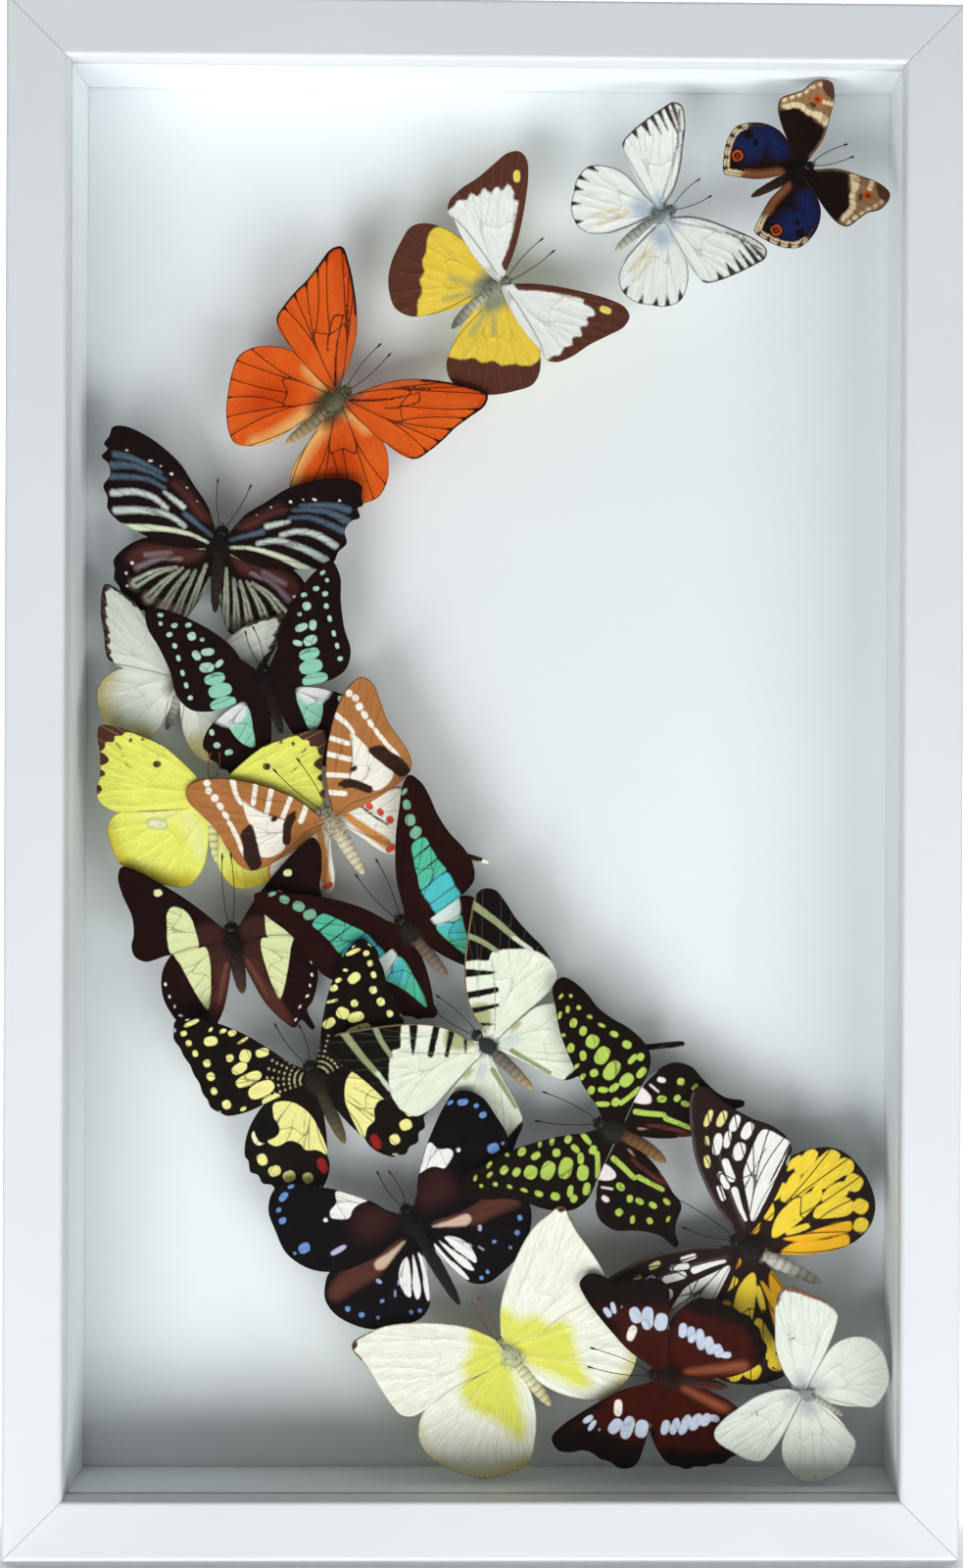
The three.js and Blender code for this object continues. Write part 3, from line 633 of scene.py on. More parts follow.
def add_fur(put, specimen, rng, girth, thorax_coat, belly_coat):
    """Fine three-sided hairs on the thorax, the head, the front of the abdomen and the wing roots."""
    front, rear = thorax(specimen)
    middle, half = (front + rear) / 2, (front - rear) / 2
    points, faces, tones = [], [], []
    for start in range(0, 4 * specimen.fur, 4):
        place = rng.random()
        if rng.random() < 0.72:
            y = specimen.head - 1.0 - (specimen.head + 2.6) * place
        else:
            y = -3.0 - 7.0 * rng.random() ** 1.5
        on_thorax = y > -3.0
        radius = girth * math.sqrt(max(0.25, 1 - ((y - middle) / half) ** 2)) if on_thorax else 0.62 * girth
        turn = rng.uniform(-0.15, 1.15) * math.pi
        out = np.array([math.cos(turn), 0, math.sin(turn)])
        root = spine(specimen, [y])[0] + out * radius * 0.88 * np.array([1, 1, 0.9])
        length = (rng.uniform(1.1, 3.2) if on_thorax else rng.uniform(0.6, 1.5)) * girth / 2.8
        way = out * 0.75 + np.array([rng.gauss(0, 0.45), rng.gauss(-0.55, 0.4), rng.gauss(0, 0.25)])
        way /= np.linalg.norm(way)
        across = np.cross(way, [0.3, 0.5, 0.8])
        across /= np.linalg.norm(across)
        up = np.cross(across, way)
        thick = rng.uniform(0.06, 0.12)
        for a in (0.0, 2.0944, 4.1888):
            points.append(root + thick * (math.cos(a) * across + math.sin(a) * up))
        points.append(root + length * way)
        corners = ((0, 1, 3), (1, 2, 3), (2, 0, 3), (2, 1, 0))
        faces += [tuple(start + i for i in corner) for corner in corners]
        tones += [(thorax_coat if on_thorax else belly_coat) * rng.uniform(0.4, 1.0) ** 2 * 2.2] * 4
    put(points, faces, np.array(tones))


# Materials


class Graph:
    """A material's node graph round its main shader."""

    def __init__(self, name):
        self.material = bpy.data.materials.new(name)
        self.material.use_nodes = True
        self.tree = self.material.node_tree
        self.shader = self.tree.nodes["Principled BSDF"]
        self.place = self.node("TexCoord", {}).outputs["Object"]

    def feed(self, socket, value):
        if isinstance(value, bpy.types.NodeSocket):
            self.tree.links.new(value, socket)
        else:
            socket.default_value = value

    def node(self, kind, inputs, **settings):
        made = self.tree.nodes.new("ShaderNode" + kind)
        for key, value in settings.items():
            setattr(made, key, value)
        for key, value in inputs.items():
            self.feed(made.inputs[key], value)
        return made

    def set(self, **values):
        for key, value in values.items():
            self.feed(self.shader.inputs[key.replace("_", " ")], value)
        return self.material

    def math(self, kind, a, b=0.0, c=0.0, clamp=False):
        return self.node("Math", {0: a, 1: b, 2: c}, operation=kind, use_clamp=clamp).outputs[0]

    def mix(self, share, a, b, blend="MIX"):
        a, b = (tuple(v) + (1.0,) if isinstance(v, (list, tuple)) else v for v in (a, b))
        return self.node("Mix", {0: share, 6: a, 7: b}, data_type="RGBA", blend_type=blend).outputs[2]

    def shaded(self, colour, shade):
        grey = self.node("CombineColor", {0: shade, 1: shade, 2: shade}).outputs[0]
        return self.mix(1.0, colour, grey, "MULTIPLY")

    def attribute(self, name, output="Fac"):
        return self.node("Attribute", {}, attribute_name=name).outputs[output]

    def noise(self, scale, detail=2.0, rough=0.5, vector=None):
        inputs = {"Vector": vector or self.place, "Scale": scale, "Detail": detail, "Roughness": rough}
        return self.node("TexNoise", inputs).outputs["Fac"]

    def streaks(self, scale, detail, rough, vector=None):
        """Noise that is stretched by a scale for each direction."""
        stretched = self.node("Mapping", {"Vector": vector or self.place, "Scale": scale}).outputs[0]
        return self.noise(1.0, detail, rough, stretched)

    def ramp(self, value, low, high, to_low=0.0, to_high=1.0):
        inputs = {"Value": value, "From Min": low, "From Max": high, "To Min": to_low, "To Max": to_high}
        return self.node("MapRange", inputs, interpolation_type="SMOOTHSTEP").outputs[0]

    def bump(self, height, strength, distance):
        made = self.node("Bump", {"Height": height, "Strength": strength, "Distance": distance})
        self.feed(self.shader.inputs["Normal"], made.outputs[0])


def wing_material(specimen):
    """Scaled wing: a streaked ground, the inks in painting order, then veins, worn scales and the fringe."""
    g = Graph("wing_" + specimen.name)
    ray = g.attribute("ray", "Vector")
    grain = g.noise(2600.0, 2.0, 0.6)
    offset = g.math("MULTIPLY_ADD", g.noise(900.0, 3.0, 0.6), 2.0, -1.0)
    streak = g.streaks((2.3, 0.16, 1.0), 3.0, 0.6, ray)
    colour = g.mix(g.noise(110.0), linear(specimen.ground), linear(specimen.ground_too))
    for k, (code, soft, ragged, _) in enumerate(specimen.inks):
        shifted = g.math("MULTIPLY_ADD", offset, ragged, g.attribute("ink_%d" % k))
        mask = g.math("MULTIPLY_ADD", shifted, -0.5 / soft, 0.5, clamp=True)
        colour = g.mix(mask, colour, linear(code))
    vein_code, width, share = specimen.vein
    vein_gap = g.math("MULTIPLY_ADD", offset, 0.06, g.attribute("vein"))
    colour = g.mix(g.ramp(vein_gap, width * 0.5, width * 1.5, share, 0.0), colour, linear(vein_code))
    shade = g.math("MULTIPLY", g.ramp(streak, 0.2, 0.8, 0.84, 1.12), g.ramp(grain, 0.25, 0.75, 0.9, 1.1))
    colour = g.shaded(colour, shade)
    worn_code, worn_share = specimen.worn
    worn = g.ramp(g.streaks((0.9, 0.35, 1.0), 4.0, 0.65, ray), 0.66, 0.74)
    colour = g.mix(g.math("MULTIPLY", worn, worn_share), colour, linear(worn_code))
    fringe = g.ramp(g.attribute("rim"), 0.12, 0.4, 0.55, 0.0)
    colour = g.mix(fringe, colour, linear(specimen.fringe or vein_code))
    g.bump(g.math("ADD", g.math("MULTIPLY", streak, 0.6), g.math("MULTIPLY", grain, 0.4)), 0.35, 0.00012)
    return g.set(Base_Color=colour, Roughness=0.82, Specular_IOR_Level=0.04)


def coat_material():
    """Hairy bodies, coloured from the mesh."""
    g = Graph("coat")
    grain = g.noise(2400.0, 3.0, 0.6)
    colour = g.shaded(g.attribute("tone", "Color"), g.ramp(grain, 0.25, 0.75, 0.75, 1.25))
    g.bump(grain, 0.4, 0.00015)
    g.set(Sheen_Weight=0.05, Sheen_Roughness=0.5)
    return g.set(Base_Color=colour, Roughness=0.75, Specular_IOR_Level=0.12)


def metal_material(name, code, rough):
    """Plated steel with faint clouds."""
    g = Graph(name)
    fine = g.noise(900.0, 3.0, 0.6)
    light = linear(code)
    colour = g.mix(g.noise(90.0, 3.0), [0.75 * c for c in light], light)
    g.bump(fine, 0.15, 0.0001)
    return g.set(Base_Color=colour, Metallic=0.75, Roughness=g.ramp(fine, 0.3, 0.7, rough, rough + 0.15))


def paint_material():
    """Satin white paint on wood: faint brush strokes, slight unevenness and a few small scuffs."""
    g = Graph("frame_paint")
    fine = g.noise(520.0, 3.0, 0.6)
    upright = g.streaks((900.0, 900.0, 22.0), 3.0, 0.6)
    scuff = g.ramp(g.noise(260.0, 4.0, 0.7), 0.7, 0.76)
    scuff = g.math("MULTIPLY", scuff, g.ramp(g.noise(26.0), 0.6, 0.7, 0.0, 0.6))
    colour = g.mix(g.noise(14.0, 3.0), linear("dadfe4"), linear("e3e9ec"))
    colour = g.mix(scuff, colour, linear("8f8d8c"))
    g.bump(g.math("ADD", g.math("MULTIPLY", upright, 0.5), g.math("MULTIPLY", fine, 0.5)), 0.12, 0.0002)
    return g.set(Base_Color=colour, Roughness=g.ramp(fine, 0.3, 0.7, 0.38, 0.5), Specular_IOR_Level=0.4)


def board_material():
    """White paper-faced board with faint fibres and a few specks."""
    g = Graph("board")
    speck = g.ramp(g.noise(330.0), 0.79, 0.81, 0.0, 0.45)
    colour = g.mix(g.noise(9.0), linear("e6ebee"), linear("eef3f5"))
    colour = g.mix(speck, colour, linear("a8a79a"))
    g.bump(g.streaks((700.0, 700.0, 1500.0), 4.0, 0.65), 0.1, 0.0001)
    return g.set(Base_Color=colour, Roughness=0.85, Specular_IOR_Level=0.3)


def hardboard_material():
    """Brown hardboard: pressed fibres, darker flecks and a fine mesh print."""
    g = Graph("hardboard")
    fibre = g.streaks((260.0, 260.0, 420.0), 5.0, 0.7)
    fleck = g.ramp(g.noise(700.0, 3.0, 0.6), 0.62, 0.72, 0.0, 0.6)
    weave = {"Vector": g.place, "Scale": 190.0, "Distortion": 0.4}
    warp, weft = (g.node("TexWave", weave, bands_direction=way).outputs["Fac"] for way in "XZ")
    colour = g.mix(fibre, linear("6e4c2f"), linear("96714c"))
    colour = g.mix(fleck, colour, linear("4a301c"))
    g.bump(g.math("ADD", g.math("MULTIPLY", warp, weft), g.math("MULTIPLY", fibre, 0.5)), 0.5, 0.0003)
    return g.set(Base_Color=colour, Roughness=0.72, Specular_IOR_Level=0.35)


def pane_material():
    """Clear low-reflection glass with a trace of dust."""
    g = Graph("pane")
    dust = g.ramp(g.noise(60.0, 5.0, 0.7), 0.62, 0.9, 0.0, 0.04)
    g.set(Transmission_Weight=1.0, Specular_Tint=(0.25, 0.25, 0.25, 1.0))
    return g.set(Base_Color=(0.975, 0.992, 0.985, 1.0), Roughness=dust, IOR=1.45)


def floor_material():
    g = Graph("stage_floor")
    colour = g.mix(g.noise(3.0, 3.0), linear("dfe1e4"), linear("e8eaec"))
    return g.set(Base_Color=colour, Roughness=0.8, Specular_IOR_Level=0.2)


# Specimens. at, heading, lift, rise, spread, turns and fore_size are the solids' own values. fore and hind
# are the right wings, from the body's axis. coat has the colours of thorax, abdomen and its tip. seat shifts
# and turns the markings. Later inks lie over earlier ones.


class Butterfly:
    """One specimen. What isn't given has the value that most of them share."""

    head = 7
    lift = 19
    rise = (0, 0)
    spread = 0.05
    turns = (0, 0, 0, 0)
    fore_size = (1, 1)
    fore_scallop = 0.0
    hind_scallop = 0.0
    seat = (0, 0, 0)
    fur = 1300
    feeler_coat = "1a1210"
    worn = ("8a8278", 0.35)
    fringe = None

    def __init__(self, name, slot, **values):
        self.name = name
        self.slot = slot
        for key, value in values.items():
            setattr(self, key, value)

    def place(self, p):
        """Maps the specimen's own millimetres to the box's."""
        turn = math.radians(self.heading)
        c, s = math.cos(turn), math.sin(turn)
        across = self.at[0] + c * p[:, 0] + s * p[:, 1]
        up = CENTRE_Z + self.at[1] + c * p[:, 1] - s * p[:, 0]
        return np.column_stack([across, BACKING_Y - p[:, 2], up])

    def wing(self, kind):
        """The fore or hind wing, seated on the thorax."""
        points = getattr(self, kind)
        front = min(max(points[0][1], THORAX_BACK + 1), self.head - NECK_LENGTH)
        rear = min(max(points[-1][1], THORAX_BACK), front - 1)
        depth = getattr(self, kind + "_scallop")
        return Wing(points, kind == "hind", (WING_ROOT, front), (WING_ROOT, rear), depth)


def ink(code, soft, ragged, **marks):
    """A colour, the softness and raggedness of its edge in millimetres, and its marks on each wing."""
    return code, soft, ragged, marks


def make_butterfly(number, specimen, coat, steel):
    """One mesh: four wings, body, hairs, legs, antennae and pin."""
    soup = Soup()
    for half, side in enumerate((-1, 1)):
        for back, kind in enumerate(("fore", "hind")):
            sided = ("left_" if side < 0 else "right_") + kind
            inks = {}
            for k, (_, _, _, marks) in enumerate(specimen.inks):
                inks["ink_%d" % k] = marks.get(sided, marks.get(kind, []))
            size = specimen.fore_size[half] if kind == "fore" else 1
            turn = specimen.turns[2 * half + back]
            seed = number * 4 + half * 2 + back + 1
            add_wing(soup, specimen, specimen.wing(kind), side, turn, size, inks, seed)
    add_body(soup, specimen, random.Random(number + 100))
    thing = soup.build("set_" + specimen.name, [wing_material(specimen), coat, steel], specimen.place)
    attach(thing, "root")
    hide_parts("butterfly_" + specimen.name)


PANSY = Butterfly(
    "pansy", "dark_wings", at=(115.8, 227.9), heading=62, lift=26, girth=2.2, head=6, tail=(0, -20),
    feelers=[(-0.5, 20.5), (4.5, 20.5)], coat=("120d0c", "1c1310", "3a2a1c"), seat=(4, 0, 0),
    ground="1e100c", ground_too="110908", vein=("0e0706", 0.15, 0.4), fringe="4a3226",
    fore=[(2, 5), (6, 13), (12, 19), (18, 24), (23, 25.5), (25.5, 23), (26.5, 19), (25.5, 15), (26, 11),
        (26.5, 6), (24, 3.5), (19, 2), (10, 1), (2, 0)],
    hind=[(3, 1), (9, 1.5), (16, 0.5), (21, -3), (24, -8), (25, -13), (22.5, -18), (18, -22), (12, -25),
        (10, -23), (7, -19), (4, -14), (2, -8)],
    inks=[
        ink("17224e", 2.2, 1.0, hind=[patch((4, 0), (10, -0.5), (15, -2), (17.5, -7), (18, -12),
            (15, -17), (10, -18), (7, -12), (8.5, -7), (4, -5))]),
        ink("94704e", 0.8, 0.7, fore=[patch((5.5, 16), (9, 19.5), (13, 23), (18, 25.5), (22.5, 24),
                (23.5, 17), (22.5, 11), (23, 4.5), (19, 4.2), (18, 9), (15, 11), (11.5, 13), (9, 14)),
            hem(0.5, 0.02, 0.3)]),
        ink("e0cda4", 0.35, 0.6, fore=[patch((6, 16), (8, 18.2), (11.5, 16.5), (13.5, 13.8), (17.5, 12),
                    (19.2, 9), (19.8, 5), (18.2, 6), (16.5, 10), (13, 11.8), (10.5, 14)),
                line(1.6, (12, 21.7), (14, 19.6)), spots((20.2, 21.4, 1.3, 1.8), (20.7, 18.5, 1.4, 2),
                (20.4, 15.6, 1.4, 2), (20.6, 12.8, 1.4, 2.2), (21, 10, 1.4, 2.2), (21.4, 7, 1.4, 2))],
            hind=[hem(2.3, 0.4, 0.83)]),
        ink("54362a", 0.25, 0.4, fore=[patch((13.5, 22.8), (18, 26), (22, 25), (21, 22.8), (18, 21.4)),
                spots((15, 15.4, 3, 1.6, -35)), hem(0.5, 0.35, 0.75)],
            hind=[without(hem(1.5, 0.3, 0.85), hem(1.0, 0.3, 0.85)), vein_ends(1.0, 2.4)]),
        ink("7c4c30", 0.9, 0.5, hind=[hem(3.0, 0.84, 1.0)]),
        ink("120b0b", 0.3, 0.3,
            hind=[spots((11.4, -17.7, 5.2), (16.4, -10.5, 3.4), (12.5, -9.5, 2.2)), hem(0.3, 0.3, 0.9)]),
        ink("bb4e1e", 0.2, 0.15, fore=[spots((15.8, 18, 3.3))],
            hind=[without(spots((11.4, -17.7, 4)), spots((11.4, -17.7, 2.4)))]),
        ink("7a2c12", 0.15, 0.1, fore=[spots((15.8, 18, 1.5))], hind=[spots((11.4, -17.7, 1.5))]),
    ],
)

WHITE_VEIN = Butterfly(
    "white_vein", "pale_wings", at=(64.3, 211.3), heading=59, lift=24, turns=(0, 8, 0, 0), girth=2.4,
    head=6, tail=(2.5, -21), feelers=[(-4.3, 19.5), (3.2, 20)], coat=("93999c", "9a9d98", "b9b39f"),
    seat=(0.7, 0, 0), ground="e9eee8", ground_too="f3f6f1", vein=("8f9490", 0.12, 0.4),
    worn=("cfd2cc", 0.3), fringe="5a5652",
    fore=[(2.5, 3), (5.7, 9), (10.7, 14.5), (17.7, 20), (24.7, 25), (30.5, 27), (33.2, 25), (33.4, 20),
        (32.7, 12), (31.7, 6), (29.5, 1), (22, 0), (12, 0), (3, 0)],
    hind=[(3.7, 1), (10.7, 0), (20.7, -1), (26.7, -4.5), (30.7, -10), (29.7, -16), (26.7, -20),
        (22.7, -24.5), (16.7, -26.5), (11.7, -25), (7.7, -20), (4.7, -12), (2.7, -4)],
    inks=[
        ink("b4c4d2", 2.0, 0.8, fore=[spots((3, 2, 7, 5))], hind=[spots((6, -4, 8, 7))]),
        ink("e2cfa2", 0.8, 0.6, hind=[line(1.2, (8, -9), (11, -20)), line(0.8, (11, -11), (15, -20))]),
        ink("6d706f", 0.4, 0.4, fore=[hem(0.8, 0.0, 0.3), line(0.4, (3, 2), (12, 12), (20, 20.2))],
            hind=[hem(0.3, 0.0, 1.0)]),
        ink("d8d6cf", 0.4, 0.4, fore=[patch((20, 20.5), (27, 25.5), (32, 26.5), (31, 23.4))]),
        ink("3a302e", 0.3, 0.35, fore=[line(0.3, (20, 20.2), (32.9, 21.8), end=2.0),
                line(0.3, (24.5, 18), (33, 18.8), end=1.9),
                line(0.3, (24.5, 15.2), (32.6, 15.4), end=2.1),
                line(0.3, (26.3, 11.5), (32.3, 11.7), end=3.0),
                line(0.3, (27.8, 6.9), (31.8, 7.2), end=3.0),
                line(0.3, (28.2, 1.2), (30.3, 2.2), end=2.0), line(0.3, (22, 22), (32.5, 24.4), end=1.6),
                hem(0.55, 0.28, 0.72), line(0.6, (17, 17.5), (29, 25.4))],
            hind=[line(0.2, (26, -8), (30.8, -10), end=2.8), line(0.2, (25.5, -13), (29.4, -15), end=2.2),
            line(0.2, (24.5, -16.6), (27.4, -19.2), end=2.8),
            line(0.2, (21, -20.5), (23.6, -23.4), end=2.0),
            line(0.2, (15.5, -23.5), (17, -26.2), end=2.0)]),
    ],
)

BROWN_YELLOW = Butterfly(
    "brown_yellow", "pale_wings", at=(1.9, 184.3), heading=56, turns=(0, 8, 0, 0), girth=2.6,
    tail=(3.5, -21), feelers=[(-5.5, 26), (0.5, 27)], coat=("a0a294", "b5b19c", "5a524a"),
    seat=(1.5, 0, 0), ground="ecc838", ground_too="f2d658", vein=("8a6a3a", 0.12, 0.3),
    worn=("f4ecd0", 0.45), fringe="4a2a20",
    fore=[(2.5, 7), (6.5, 13), (11.5, 19), (19.5, 27), (26.5, 33), (32.5, 36.5), (36.5, 36), (38.5, 32),
        (38, 26), (37, 18), (37, 10), (35.5, 4), (32.5, 1.5), (26.5, 3), (13.5, 4), (3.5, 4)],
    hind=[(4.5, 4.5), (11.5, 5), (21.5, 3.5), (29.5, 1), (35.5, -3.5), (37.5, -8), (36, -14), (32.5, -22),
        (27.5, -28), (19.5, -32), (13.5, -30), (9.5, -25), (6.5, -18), (4, -8)],
    inks=[
        ink("eef1ec", 0.3, 0.2, fore=[patch((-6, -20), (60, -20), (60, 60), (-6, 60))]),
        ink("8e9474", 2.0, 0.8,
            hind=[spots((2, -2, 8, 12)), line(0.5, (4, -4), (12, -9)), line(0.5, (3, -6), (8, -16))]),
        ink("5a3328", 0.4, 0.6, fore=[hem(2.6, 0.03, 0.45), patch((13, 25), (19, 26), (21.5, 24.5),
                (24.5, 26), (27.5, 25.6), (26.5, 22.5), (29, 21.5), (28, 18.5), (31, 17.5), (29.8, 14),
                (32, 12.5), (31, 9.5), (32.5, 7), (31.5, 4), (33, -2), (42, 0), (42, 20), (42, 38),
                (30, 40), (14, 28))],
            hind=[patch((28, 6), (30, -3), (28, -7), (25.5, -9.5), (24, -13), (20.5, -15), (19, -18.5),
            (15.5, -20.5), (14, -24), (11, -27), (8, -31), (12, -36), (30, -36), (42, -12), (40, 2))]),
        ink("f0dc66", 0.15, 0.1, fore=[spots((28, 30, 4.6, 2.6, 35))]),
    ],
)

ORANGE = Butterfly(
    "orange", "orange_wings", at=(-58.6, 140.6), heading=45, rise=(0.026, 0), spread=0.056, girth=2.8,
    head=9, tail=(-2, -22), feelers=[(-3, 29), (2, 29)], coat=("6c6a50", "8a7a5c", "b79a6a"),
    ground="d44c16", ground_too="ea6a22", vein=("2e120a", 0.22, 0.8), worn=("f3c9a8", 0.7),
    fringe="3a1208",
    fore=[(3, 8), (7, 17), (12, 25), (18, 31), (25, 36.5), (32, 41), (38, 43.5), (40.3, 40), (39.5, 33),
        (38.5, 26), (38.5, 20), (37.8, 13), (36.5, 8), (33, 5.5), (25, 4), (14, 3), (4, 3)],
    hind=[(4, 3), (15, 4), (24, 3.5), (31, -1), (35, -6), (36.5, -12), (34, -18), (30, -24), (25, -30),
        (19, -34.5), (15, -35.5), (11, -33), (7, -28), (4.5, -20), (3, -10)],
    inks=[
        ink("e9ae68", 2.0, 0.6, hind=[hem(3.0, 0.0, 0.1), hem(3.4, 0.8, 1.0)],
            fore=[hem(1.2, 0.02, 0.2)]),
        ink("c4400e", 4.0, 1.5, fore=[hem(3.0, 0.0, 0.45)], hind=[spots((18, -14, 12, 18, 30))]),
        ink("5a4a34", 2.2, 0.6, fore=[spots((2, 7, 6, 9))], hind=[spots((2, -1, 8, 14))]),
        ink("24100a", 0.25, 0.35, fore=[hem(0.9, 0.22, 0.52), border(0.7), vein_ends(0.8, 3.0),
                line(0.9, (4, 6), (13, 15.5), (20, 26), end=0.5),
                line(0.6, (20, 26), (22, 23.5), (17, 15), (15, 13))],
            hind=[border(0.25), vein_ends(0.35, 2.0)]),
    ],
)

ZEBRA_FAN = (
    ((15, -11), (22, -14), (29, -19.5)),
    ((13, -11), (18.5, -17), (23.5, -24)),
    ((10.5, -11.5), (14, -18), (18, -27.5)),
    ((8, -11), (10.5, -19), (13, -29)),
    ((4.5, -8), (6.5, -18), (8.5, -29.5)),
)


def fan(width, ends):
    """Strokes that spread over the hind wing, each from width to its own end."""
    return [line(width, *path, end=end) for path, end in zip(ZEBRA_FAN, ends)]


ZEBRA = Butterfly(
    "zebra", "dark_wings", hind_scallop=0.8, at=(-100.4, 88), heading=8, lift=16.3, rise=(0.17, 0),
    turns=(0, -5, 10, 2), girth=2.8, tail=(1, -25), feelers=[(-3.7, 24), (8.7, 23.6)],
    coat=("1a1513", "241c19", "3a302a"), seat=(-0.5, 0, 3), ground="120b0b", ground_too="1c100f",
    vein=("0c0707", 0.15, 0.5), worn=("6a5a56", 0.3),
    fore=[(2, 4), (6, 13), (12, 20), (18, 27), (25, 32), (32, 35.5), (40, 37.5), (44, 36.5), (45, 33),
        (46.5, 30), (45, 28.5), (46.8, 25.5), (44, 23), (43, 19), (45, 15), (43, 11), (42.5, 7), (38, 3),
        (30, 0), (20, -3), (8, -3), (2, -2)],
    hind=[(4, -3), (15, -3), (25, -3), (32, -7), (37, -14), (36.5, -19), (33, -25), (25, -30),
        (16, -32.5), (10, -32.5), (6, -28), (4, -20), (2, -10)],
    inks=[
        ink("4a2824", 1.2, 0.7, fore=[patch((4, 8), (10, 15), (17, 22), (20, 21), (15, 16), (9, 9))],
            hind=[patch((6, -4), (20, -4), (30, -6), (34, -12), (29, -13), (20, -9), (10, -8))]),
        ink("4d5f70", 0.6, 0.7, fore=[line(1.0, (24, 24), (30, 26.6), (36, 28.5), (41, 29), end=2.4),
            line(0.8, (22, 21.5), (28, 24), (35, 25.5), (42, 25), end=2.6),
            line(1.0, (22, 18.5), (28, 21), (33, 21.5), (42, 21), end=2.2),
            line(1.0, (4, 3), (9, 6.5), (14, 10), end=1.8)]),
        ink("c2cbc4", 0.55, 0.6, fore=[line(1.5, (21, 11.5), (26, 14.8), (33, 16.2), (41, 15), end=2.4),
            line(2.0, (15, 12.5), (18, 14.5), (22, 17), end=1.2),
            line(1.5, (14, 5.5), (20, 8.8), (30, 9.8), (39.5, 8.8), end=2.6)]),
        ink("d5dcbe", 0.4, 0.4, fore=[line(0.8, (5, 0.4), (12, 2.8), (24, 3.8), (38.5, 2.6), end=2.9),
            line(0.6, (6, -2.4), (17, -4.2), (28, -2.6), (36, -2), end=1.6)]),
        ink("8e7a80", 0.9, 0.7, hind=[line(0.7, (14, -7.6), (22, -9.2), (29.5, -14), end=1.6),
            line(0.5, (18, -6), (27, -8.5), end=1.2)]),
        ink("b4b9a4", 0.45, 0.5, hind=fan(0.8, (3.8, 3.4, 3.2, 3.0, 3.2))
            + [line(0.6, (2.4, -12), (3.6, -19), (4.2, -25), end=1.6)]),
        ink("120b0b", 0.3, 0.4, hind=fan(0.15, (1.0, 0.9, 0.9, 0.8, 0.8))),
        ink("8f7a6c", 1.6, 0.8, hind=[both(border(4.0), line(0.8, (15, -11), (29, -19.5), end=3.8))]
            + [both(border(6.0), stroke) for stroke in fan(0.8, (3.8, 3.4, 3.2, 3.0))[1:]]),
        ink("e6dfda", 0.15, 0.2, fore=[spots((20, 24, 1.6, 1), (28, 28, 1.8, 0.9), (36.8, 31, 1.2, 0.7),
                (14, 19.6, 1, 0.6), (24, 26.4, 1, 0.5), (10, 15, 0.8, 0.4))],
            hind=[spots((31.5, -12.4, 1.3), (33, -16.5, 1.2), (32, -21, 1), (24.5, -14.8, 1.4, 0.8))]),
    ],
)

WHITE_UNDER = Butterfly(
    "white_under", "pale_wings", at=(-115.5, 37), heading=10, lift=13.9, rise=(0, -0.014), girth=2.3,
    head=6, tail=(-2, -19), feelers=[(-4, 15), (3, 15)], coat=("6d6a60", "a9a99a", "3c3630"),
    seat=(2.5, -4, -7), ground="dde3d6", ground_too="e9ede2", vein=("b3b6a4", 0.12, 0.4),
    worn=("cfd0c2", 0.3), fringe="6a5a4c",
    fore=[(2, 3), (9, 12), (20.7, 24.7), (27, 28.5), (33.4, 30.2), (33.2, 20.1), (30.7, 12.4), (27, 2.7),
        (17.9, 1.9), (3, 1)],
    hind=[(3, 1), (19.8, 1.6), (27.3, -3.4), (29.5, -9.7), (26.6, -17.4), (24, -21.6), (17, -28),
        (10, -26), (4, -18), (3, -8)],
    inks=[
        ink("3c2a24", 0.3, 0.8, fore=[border(1.7, 1.2, 1.0), hem(1.0, 0.3, 0.45)]),
        ink("8a8a7c", 1.8, 0.6, fore=[spots((0, 5, 5, 6))], hind=[spots((0, 2, 5, 9))]),
        ink("c9bd84", 3.0, 0.8, hind=[border(4.0, 7.0)]),
    ],
)

